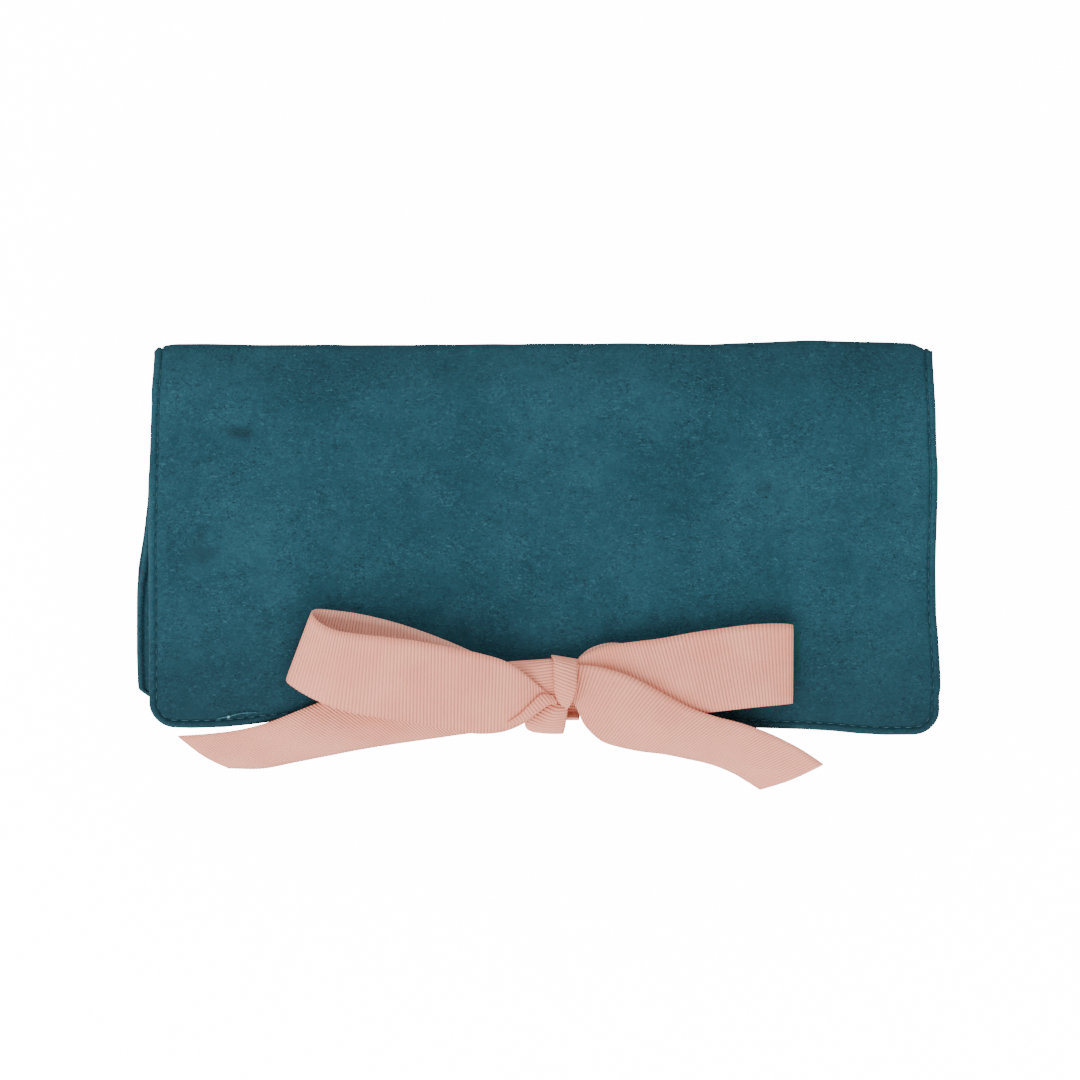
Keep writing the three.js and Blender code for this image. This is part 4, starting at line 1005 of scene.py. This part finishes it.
def pocket_panel(node, body, outline, lines_x, lines_y, base, rise, seed, closed_top=False, in_slot=None):
    """A satin panel, sewn flat along its edges and pleated into its low seam, that stands out by rise."""
    x, y = np.meshgrid(lines_x, lines_y)
    sides = side_lift(x, lines_x[-1])
    if closed_top:
        sides = sides * smooth(FLANGE, PANEL_REACH_HIGH, lines_y[-1] - y)
    low = smooth(FLANGE, PANEL_REACH_LOW, y - lines_y[0])
    full = sides * low
    way = math.copysign(1.0, rise)
    plane = points_at(x, y, 0.0)
    turns = x / PLEAT_PITCH * 2 * math.pi + PLEAT_DRIFT * ripple(plane, DRIFT_SIZE, seed)
    pleats = PLEAT_HEIGHT * np.cos(turns) * low * (1 - low) * sides
    slack = SLACK_HEIGHT * ripple(plane, SLACK_SIZE, seed + 1) * full * (1 - full)
    height = POCKET_THICK + (abs(rise) - POCKET_THICK) * full + pleats + slack
    drawn_y = y + drawn_in(outline, x) * (1 - smooth(0, DRAWN_REACH, y - lines_y[0]))
    outer = points_at(x, drawn_y, base + way * np.clip(height, POCKET_THICK, abs(rise)))
    normal = grid_normals(outer)
    normal *= way * np.sign(normal[..., 2:3])
    filled = np.ones((len(lines_y) - 1, len(lines_x) - 1), bool)
    if in_slot:
        filled = ~in_slot((x[1:, 1:] + x[:-1, :-1]) / 2, (y[1:, 1:] + y[:-1, :-1]) / 2)
    piece = shell(node.replace("panel", "satin"), outer, outer - normal * POCKET_THICK, filled=filled)
    dress(piece, satin, "lining", body, node)


def joined_lines(counts, *ends):
    """Places along a line, with this many in each of the stretches between the ends."""
    stretches = [np.linspace(*stretch) for stretch in zip(ends, ends[1:], counts)]
    return np.unique(np.concatenate(stretches).round(4))


pocket_panel(
    "zip_pocket_panel",
    "back",
    back_outline,
    joined_lines((10, 131, 10), zip_low[0], -SLOT_HALF_X, SLOT_HALF_X, zip_high[0]),
    joined_lines((38, 5, 10), POCKET_LOW_Y, SLOT_LOW_Y, SLOT_HIGH_Y, zip_high[1]),
    zip_low[2],
    ZIP_PANEL_RISE,
    seed=21,
    closed_top=True,
    in_slot=lambda x, y: (np.abs(x) < SLOT_HALF_X) & (y > SLOT_LOW_Y) & (y < SLOT_HIGH_Y),
)
pocket_panel(
    "slip_pocket_panel",
    "flap",
    flap_outline,
    np.linspace(slip_low[0], slip_high[0], 150),
    np.linspace(POCKET_LOW_Y, slip_high[1] - MOUTH_INSET, 40),
    slip_high[2],
    SLIP_PANEL_RISE,
    seed=24,
)


def mouth_binding():
    """A grosgrain strip folded over the mouth of the slip pocket, which rises with it at the side seams."""
    low, high = node_box("slip_pocket_binding")
    mouth_z = slip_low[2] + PANEL_ROOM
    section = [
        (low[1], mouth_z - 0.4),
        (high[1] - 0.5, mouth_z - 0.45),
        (high[1], mouth_z + 0.15),
        (high[1] - 0.5, mouth_z + 1.15),
        (low[1], mouth_z + 1.1),
    ]
    turned = smooth_line(section, np.linspace(0, 1, 13))
    places = np.linspace(low[0], high[0], 240)
    shift = (1 - side_lift(places, slip_high[0])) * (abs(SLIP_PANEL_RISE) - POCKET_THICK)
    rows = np.array([[(x, y, z + up) for y, z in turned] for x, up in zip(places, shift)])
    piece, rows = ribbed_shell("slip_pocket_binding_ribbon", rows, BINDING_THICK)
    dress(piece, grosgrain, "ribbon", "flap", "slip_pocket_binding")


mouth_binding()

# Zip and other metal, in millimetres and radians

TOOTH_PITCH = 1.2
TOOTH_SIZE = (0.95, 2.2, 1.2)
TOOTH_BEVEL = 0.22
TAPE_TUCK = 1.8
TAPE_INSET = 0.1
TAPE_WAVE = 0.1
TAPE_WAVE_SIZE = 12.0
TAPE_SEED = 41
WELD_REACH = 0.002
FLAT_ANGLE = math.radians(2)
HARD_ANGLE = math.radians(35)
TURNED_ANGLE = math.radians(38)
TOOTH_ANGLE = math.radians(40)


def zip_tape_strip(node, low_y, high_y):
    """A woven tape beside the teeth, tucked under the panel at the edge of the slot."""
    low, high = node_box(node)
    x, y = np.meshgrid(np.linspace(low[0], high[0], 99), np.linspace(low_y, high_y, 7))
    wave = TAPE_WAVE * ripple(points_at(x, y, 0.0), TAPE_WAVE_SIZE, TAPE_SEED)
    top = points_at(x, y, high[2] - TAPE_INSET + wave)
    bottom = points_at(x, y, low[2] + TAPE_INSET + wave)
    uvs = np.stack([y - (low_y + high_y) / 2, x], axis=2)
    piece = shell(node + "_weave", top, bottom, uvs)
    dress(piece, zip_tape, "zip_tape", "back", node)


def bevelled_block(size, bevel):
    """Points and faces of a small block with soft edges, round the origin."""
    work = bmesh.new()
    bmesh.ops.create_cube(work, size=1.0)
    bmesh.ops.scale(work, vec=size, verts=work.verts)
    bmesh.ops.bevel(work, geom=work.edges[:], offset=bevel, segments=2, profile=0.5, affect="EDGES")
    work.verts.index_update()
    verts = np.array([v.co[:] for v in work.verts])
    faces = [tuple(v.index for v in face.verts) for face in work.faces]
    work.free()
    return verts, faces


def zip_teeth():
    """Two rows of teeth that mesh down the middle of the zip."""
    low, high = node_box("zip_chain")
    block, block_faces = bevelled_block(TOOTH_SIZE, TOOTH_BEVEL)
    count = int((high[0] - low[0]) / TOOTH_PITCH)
    teeth = []
    for k in range(count):
        x = low[0] + (k + 0.5) * (high[0] - low[0]) / count
        y = low[1] + TOOTH_SIZE[1] / 2 if k % 2 else high[1] - TOOTH_SIZE[1] / 2
        teeth.append((block + np.array([x, y, (low[2] + high[2]) / 2]), block_faces))
    piece = add_piece("zip_teeth", *joined(teeth))
    piece.data.set_sharp_from_angle(angle=TOOTH_ANGLE)
    dress(piece, brass, "metal_trim", "back", "zip_chain")


def softened(node, body, bevel):
    """A metal piece as its node has it, with its hard edges rounded off."""
    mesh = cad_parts[node].data.copy()
    mesh.name = node + "_brass"
    work = bmesh.new()
    work.from_mesh(mesh)
    bmesh.ops.remove_doubles(work, verts=work.verts, dist=WELD_REACH * MM)
    bmesh.ops.dissolve_limit(work, angle_limit=FLAT_ANGLE, verts=work.verts, edges=work.edges)
    hard = [e for e in work.edges if len(e.link_faces) == 2 and e.calc_face_angle() > HARD_ANGLE]
    bmesh.ops.bevel(
        work, geom=hard, offset=bevel * MM, segments=2, profile=0.5, affect="EDGES", clamp_overlap=True
    )
    bmesh.ops.recalc_face_normals(work, faces=work.faces)
    work.to_mesh(mesh)
    work.free()
    mesh.polygons.foreach_set("use_smooth", [True] * len(mesh.polygons))
    mesh.set_sharp_from_angle(angle=HARD_ANGLE)
    dress(add_object(mesh.name, mesh), brass, "metal_trim", body, node)


zip_tape_strip("zip_tape_upper", node_box("zip_tape_upper")[0][1], SLOT_HIGH_Y + TAPE_TUCK)
zip_tape_strip("zip_tape_lower", SLOT_LOW_Y - TAPE_TUCK, node_box("zip_tape_lower")[1][1])
zip_teeth()
softened("zip_slider", "slider", bevel=0.22)
softened("zip_puller", "puller", bevel=0.16)
softened("zip_stop_left", "back", bevel=0.2)
softened("zip_stop_right", "back", bevel=0.2)

# Ring bar and its popper, in millimetres

ROLL_SIDES = 44
ROLL_PLEATS = 13
ROLL_RINGS = 70
PLEAT_DEPTH = 0.12
PLEAT_EASE = 0.6
DENT_DEPTH = 0.035
ROLL_DENT_SIZE = 9.0
ROLL_SEED = 51
# The gathered end of the roll: how far in from its end, and the share of its radius, from the middle out
ROLL_END = [
    (1.7, 0.0),
    (1.3, 0.14),
    (0.6, 0.32),
    (0.1, 0.52),
    (0.0, 0.68),
    (0.45, 0.83),
    (1.5, 0.93),
    (3.2, 0.98),
    (6.0, 1.0),
]
ROLL_END_REACH = 9.0
STRAP_THICK = 1.4
STRAP_GAP = 0.05
# The seam of a strap, as shares of its half width and of its thickness
STRAP_SEAM = 0.76
STRAP_SEAM_HALF = 0.07
STRAP_SEAM_DEPTH = 0.3
LATHE_SIDES = 48


def turns_of(sides):
    return np.arange(sides) / sides * 2 * math.pi


def ring_roll():
    """A stuffed velvet roll, gathered and tied off at both ends."""
    low, high = node_box("ring_bar")
    middle = (low + high) / 2
    radius = (high[2] - low[2]) / 2
    ends = [(inward, share, 1 - share * PLEAT_EASE) for inward, share in ROLL_END[1:]]
    left = [(low[0] + inward, share, pleated) for inward, share, pleated in ends]
    right = [(high[0] - inward, share, pleated) for inward, share, pleated in reversed(ends)]
    between = np.linspace(low[0] + ROLL_END_REACH, high[0] - ROLL_END_REACH, ROLL_RINGS)
    turns = turns_of(ROLL_SIDES)
    rings = []
    for x, share, pleated in left + [(x, 1.0, 0.0) for x in between] + right:
        pleat = 1 + PLEAT_DEPTH * pleated * np.cos(ROLL_PLEATS * turns) * min(share * 3, 1.0)
        rim = points_at(x, radius * np.cos(turns), radius * np.sin(turns))
        dent = 1 - DENT_DEPTH * (1 + ripple(rim, ROLL_DENT_SIZE, ROLL_SEED)) * (1 - pleated)
        size = share * np.minimum(pleat, 1.0) * dent
        rings.append(points_at(x, middle[1] + rim[:, 1] * size, middle[2] + rim[:, 2] * size))
    dimple = ROLL_END[0][0]
    tips = [(low[0] + dimple, middle[1], middle[2]), (high[0] - dimple, middle[1], middle[2])]
    faces = capped_faces(len(rings), ROLL_SIDES)
    piece = add_piece("ring_bar_roll", np.concatenate([*rings, tips]), faces)
    dress(piece, velvet, "velvet", "back", "ring_bar")


def strap(name, body, node, path, round_end):
    """A strap of folded velvet along a line in the XZ plane, thinner at its stitched edges."""
    low, high = node_box(node)
    half = (high[1] - low[1]) / 2
    line = smooth_line(path, np.linspace(0, 1, 41))
    reach = lengths_along(line)
    past = np.clip((reach - (reach[-1] - half)) / half, 0, 0.995) if round_end else np.zeros_like(reach)
    widths = half * np.sqrt(1 - past**2)
    across = np.linspace(-1, 1, 21)
    middle_y = (low[1] + high[1]) / 2
    rows = points_at(line[:, :1], middle_y + across * widths[:, None], line[:, 1:])
    seam = STRAP_SEAM_DEPTH * np.exp(-(((np.abs(across) - STRAP_SEAM) / STRAP_SEAM_HALF) ** 2))
    profile = 1 - 0.5 * np.abs(across) ** 8 - seam
    lift = grid_normals(rows) * (STRAP_THICK / 2 * profile)[None, :, None]
    piece = shell(name, rows + lift, rows - lift)
    dress(piece, velvet, "velvet", body, node)


def lathe(node, body, profile):
    """A turned metal piece. profile holds shares of its radius and of its height, from axis to axis."""
    low, high = node_box(node)
    middle = (low + high) / 2
    radius = (high[0] - low[0]) / 2
    turns = turns_of(LATHE_SIDES)
    points = [(radius * share, low[2] + (high[2] - low[2]) * up) for share, up in profile]
    rims = [(middle[0] + r * np.cos(turns), middle[1] + r * np.sin(turns), z) for r, z in points[1:-1]]
    rings = [points_at(*rim) for rim in rims]
    tips = [(middle[0], middle[1], points[0][1]), (middle[0], middle[1], points[-1][1])]
    faces = capped_faces(len(rings), LATHE_SIDES)
    piece = add_piece(node + "_brass", np.concatenate([*rings, tips]), faces)
    piece.data.set_sharp_from_angle(angle=TURNED_ANGLE)
    dress(piece, brass, "metal_trim", body, node)


ring_roll()
anchor_low, anchor_high = node_box("ring_bar_anchor_strap")
tab_low, tab_high = node_box("popper_tab")
tab_z = (tab_low[2] + tab_high[2]) / 2
bed_z = anchor_low[2] + STRAP_THICK / 2 + STRAP_GAP
strap(
    "ring_bar_anchor_velvet",
    "back",
    "ring_bar_anchor_strap",
    [
        (anchor_low[0] + 0.3, bed_z),
        (anchor_low[0] + 6, bed_z + 0.1),
        (anchor_low[0] + 12, bed_z + 0.1),
        (anchor_low[0] + 14.6, bed_z + 1),
        (anchor_low[0] + 15.9, bed_z + 3.2),
        (anchor_low[0] + 16.2, anchor_high[2] - 0.2),
    ],
    False,
)
strap(
    "popper_tab_velvet",
    "tab",
    "popper_tab",
    [(tab_low[0] + 0.3, tab_z), ((tab_low[0] + tab_high[0]) / 2, tab_z), (tab_high[0] - 0.1, tab_z)],
    True,
)
CAP_EDGE = [(0, 0), (0.94, 0), (1, 0.2), (0.98, 0.5), (0.89, 0.75)]
CAP_DOME = [(0.78, 0.72), (0.72, 0.8), (0.5, 0.93), (0.25, 0.99), (0, 1)]
STUD = [(0, 0), (1, 0), (1, 0.22), (0.72, 0.28), (0.6, 0.6), (0.7, 0.85), (0.52, 1), (0, 1)]
lathe("popper_cap", "tab", CAP_EDGE + CAP_DOME)
lathe("popper_stud", "back", STUD)

# Stitches

THREAD_SIDES = 6
# Along a stitch: places as shares of its length, and its height there in radii of the thread
STITCH_PLACES = np.array([-0.5, -0.3, 0.0, 0.3, 0.5])
STITCH_ARCH = np.array([-0.8, 0.2, 0.5, 0.2, -0.8])
POCKET_SEAM = 0.75
MOUTH_SEAM_END = 4.0
FOLD_SEAM_END = 4.0
LOOSE_RADIUS = 0.13
TUFT_RADIUS = 0.33


def thread_tube(line, radius):
    """Points and faces of a thin thread along a line, rounded off at its ends."""
    line = np.asarray(line, float)
    along = np.gradient(line, axis=0)
    side = np.cross(along, (0.0, 0.0, 1.0))
    side /= np.linalg.norm(side, axis=1, keepdims=True)
    over = np.cross(side, along)
    over /= np.linalg.norm(over, axis=1, keepdims=True)
    taper = radius * (1 - 0.55 * np.linspace(-1, 1, len(line)) ** 8)
    turns = turns_of(THREAD_SIDES)[:, None]
    spokes = np.cos(turns) * side[:, None] + np.sin(turns) * over[:, None]
    rings = line[:, None] + taper[:, None, None] * spokes
    last = (len(line) - 1) * THREAD_SIDES
    caps = [tuple(range(THREAD_SIDES)), tuple(range(last, last + THREAD_SIDES))]
    return rings.reshape(-1, 3), caps + ring_faces(len(line), THREAD_SIDES)


def stitches(path, way):
    """Tubes of the stitches along a line of points. Each rises in its middle, up for way 1, down for -1."""
    path = np.asarray(path, float)
    reach = lengths_along(path)
    count = int(reach[-1] / STITCH_PITCH)
    tubes = []
    for k in range(count):
        places = (k + 0.5) * reach[-1] / count + STITCH_PLACES * STITCH_LENGTH
        line = np.stack([np.interp(places, reach, path[:, n]) for n in range(3)], axis=1)
        line[:, 2] += STITCH_ARCH * THREAD_RADIUS * way
        tubes.append(thread_tube(line, THREAD_RADIUS))
    return tubes


def thread_piece(name, body, tubes, material):
    dress(add_piece(name, *joined(tubes)), material, "velvet", body)


def seam_line(outline, mirror):
    """The line of the edge seam round a half, from the fold along three sides and back to the fold."""
    bend = CORNER_RADIUS - SEAM_INSET
    turns = np.linspace(0, math.pi / 2, 9)[1:-1]
    climb = np.linspace(FLAT_REACH - FOLD_SEAM_END, CORNER_RADIUS, 60)
    left_x, right_x = outline.left(0) + CORNER_RADIUS, outline.right(0) - CORNER_RADIUS
    line = [(outline.left(s / FLAT_REACH) + SEAM_INSET, s) for s in climb]
    line += [(left_x - bend * math.cos(t), CORNER_RADIUS - bend * math.sin(t)) for t in turns]
    line += [(x, SEAM_INSET) for x in np.linspace(left_x, right_x, 120)]
    line += [(right_x + bend * math.sin(t), CORNER_RADIUS - bend * math.cos(t)) for t in turns]
    line += [(outline.right(s / FLAT_REACH) - SEAM_INSET, s) for s in climb[::-1]]
    x, s = np.array(line).T
    points = points_at(x, outer_y(outline, x, s), UPPER_HINGE_Z + swell(SEAM_INSET, 0.0) - fold_drop(s))
    points[:, 2] += cloth_wave(points, FLAP_SEED if mirror > 0 else BACK_SEED) + 0.6 * THREAD_RADIUS
    if mirror < 0:
        points[:, 2] = TOTAL_THICK - points[:, 2]
    return points


def pocket_line(outline, low, high, z, closed):
    """The seam round a pocket. One that isn't closed leaves the high side open."""
    left, right = low[0] + POCKET_SEAM, high[0] - POCKET_SEAM
    top = high[1] - (POCKET_SEAM if closed else 0.0)
    bottom = [(x, low[1] + POCKET_SEAM + float(drawn_in(outline, x))) for x in np.linspace(left, right, 90)]
    line = [(left, top), *bottom, (right, top)]
    if closed:
        line.append((left, top))
    return [(x, y, z) for x, y in line]


thread_piece("flap_edge_stitches", "flap", stitches(seam_line(flap_outline, 1), 1), thread)
thread_piece("back_edge_stitches", "back", stitches(seam_line(back_outline, -1), -1), thread)
zip_seam_z = zip_low[2] + POCKET_THICK + 0.5 * THREAD_RADIUS
slip_seam_z = slip_high[2] - POCKET_THICK - 0.5 * THREAD_RADIUS
zip_seam = pocket_line(back_outline, (zip_low[0], POCKET_LOW_Y), zip_high, zip_seam_z, True)
slip_corners = (slip_low[0], POCKET_LOW_Y), (slip_high[0], slip_high[1] - MOUTH_SEAM_END)
slip_seam = pocket_line(flap_outline, *slip_corners, slip_seam_z, False)
thread_piece("zip_pocket_stitches", "back", stitches(zip_seam, 1), thread)
thread_piece("slip_pocket_stitches", "flap", stitches(slip_seam, -1), thread)

# A loose thread end on the flap's seam, with a tuft
LOOSE = [
    (217, 719, -1.2),
    (223, 717.6, -0.9),
    (229, 716.6, -0.6),
    (236, 714.6, -0.8),
    (243, 713.2, -0.7),
    (258, 712.6, -0.9),
]
TUFT = [(227.4, 716.6, -0.4), (228.2, 717.2, -0.1), (229.2, 716.4, -0.2), (229.6, 717.4, -0.4)]
loose_line = smooth_line([seen(*place) for place in LOOSE], np.linspace(0, 1, 31))
tuft_line = smooth_line([seen(*place) for place in TUFT], np.linspace(0, 1, 9))
thread_piece("flap_loose_thread", "flap", [thread_tube(loose_line, LOOSE_RADIUS)], loose_thread)
thread_piece("flap_thread_tuft", "flap", [thread_tube(tuft_line, TUFT_RADIUS)], pale_thread)

# Stage, in metres

FLOOR_SIZE = 3.0
FLOOR_Z = -0.045
PAPER_GLOW = 14.0
SKY_STRENGTH = 0.75


def studio_floor():
    """White paper that shows as bright to the camera as an overlit sweep, and lights nothing."""
    floor_mesh = bpy.data.meshes.new("studio_floor")
    half = FLOOR_SIZE / 2
    corners = [(x * half, y * half, FLOOR_Z) for x, y in ((-1, -1), (1, -1), (1, 1), (-1, 1))]
    floor_mesh.from_pydata(corners, [], [(0, 1, 2, 3)])
    floor = add_object("studio_floor", floor_mesh)
    paper, tree, shader = new_material("white paper", colour(0.97, 0.97, 0.97), 0.9, Specular_IOR_Level=0.1)
    to_camera = put(tree, "ShaderNodeLightPath").outputs["Is Camera Ray"]
    glow = put(tree, "ShaderNodeEmission", {"Strength": sums(tree, "MULTIPLY", to_camera, PAPER_GLOW)})
    both = put(tree, "ShaderNodeAddShader", {0: shader.outputs[0], 1: glow.outputs[0]})
    feed(tree, tree.nodes["Material Output"], {"Surface": both.outputs[0]})
    floor.data.materials.append(paper)


def soft_light(name, place, target, size, power):
    lamp = bpy.data.lights.new(name, "AREA")
    lamp.shape = "SQUARE"
    lamp.size = size
    lamp.energy = power
    holder = add_object(name, lamp)
    holder.location = place
    holder.rotation_euler = (Vector(target) - Vector(place)).to_track_quat("-Z", "Y").to_euler()
    holder.visible_camera = False


def studio_sky(strength):
    """An even white sky, as bright to the camera as the paper."""
    world = bpy.data.worlds.new("studio sky")
    world.use_nodes = True
    tree = world.node_tree
    backdrop = tree.nodes["Background"]
    backdrop.inputs["Color"].default_value = (1.0, 1.0, 1.0, 1.0)
    to_camera = put(tree, "ShaderNodeLightPath").outputs["Is Camera Ray"]
    feed(tree, backdrop, {"Strength": span(tree, to_camera, 0.0, 1.0, strength, PAPER_GLOW)})
    bpy.context.scene.world = world


def overhead_camera():
    lens = bpy.data.cameras.new("overhead")
    lens.sensor_fit = "HORIZONTAL"
    lens.sensor_width = 36.0
    lens.lens = lens.sensor_width * CAMERA_HEIGHT / (PHOTO_PIXELS * PIXEL_SIZE * MM)
    lens.clip_end = 20.0
    holder = add_object("overhead", lens)
    holder.location = (CAMERA_X * MM, CAMERA_Y * MM, FLAP_TOP_Z * MM + CAMERA_HEIGHT)
    bpy.context.scene.camera = holder


studio_floor()
studio_sky(SKY_STRENGTH)
soft_light("key", (-0.12, -0.95, 1.0), (0, 0, 0), size=1.4, power=30.5)
soft_light("fill", (0.1, 0.9, 1.0), (0, 0, 0), size=1.4, power=11.4)
soft_light("side", (-1.1, -0.25, 0.28), (0, 0, 0.01), size=0.6, power=7.8)
overhead_camera()
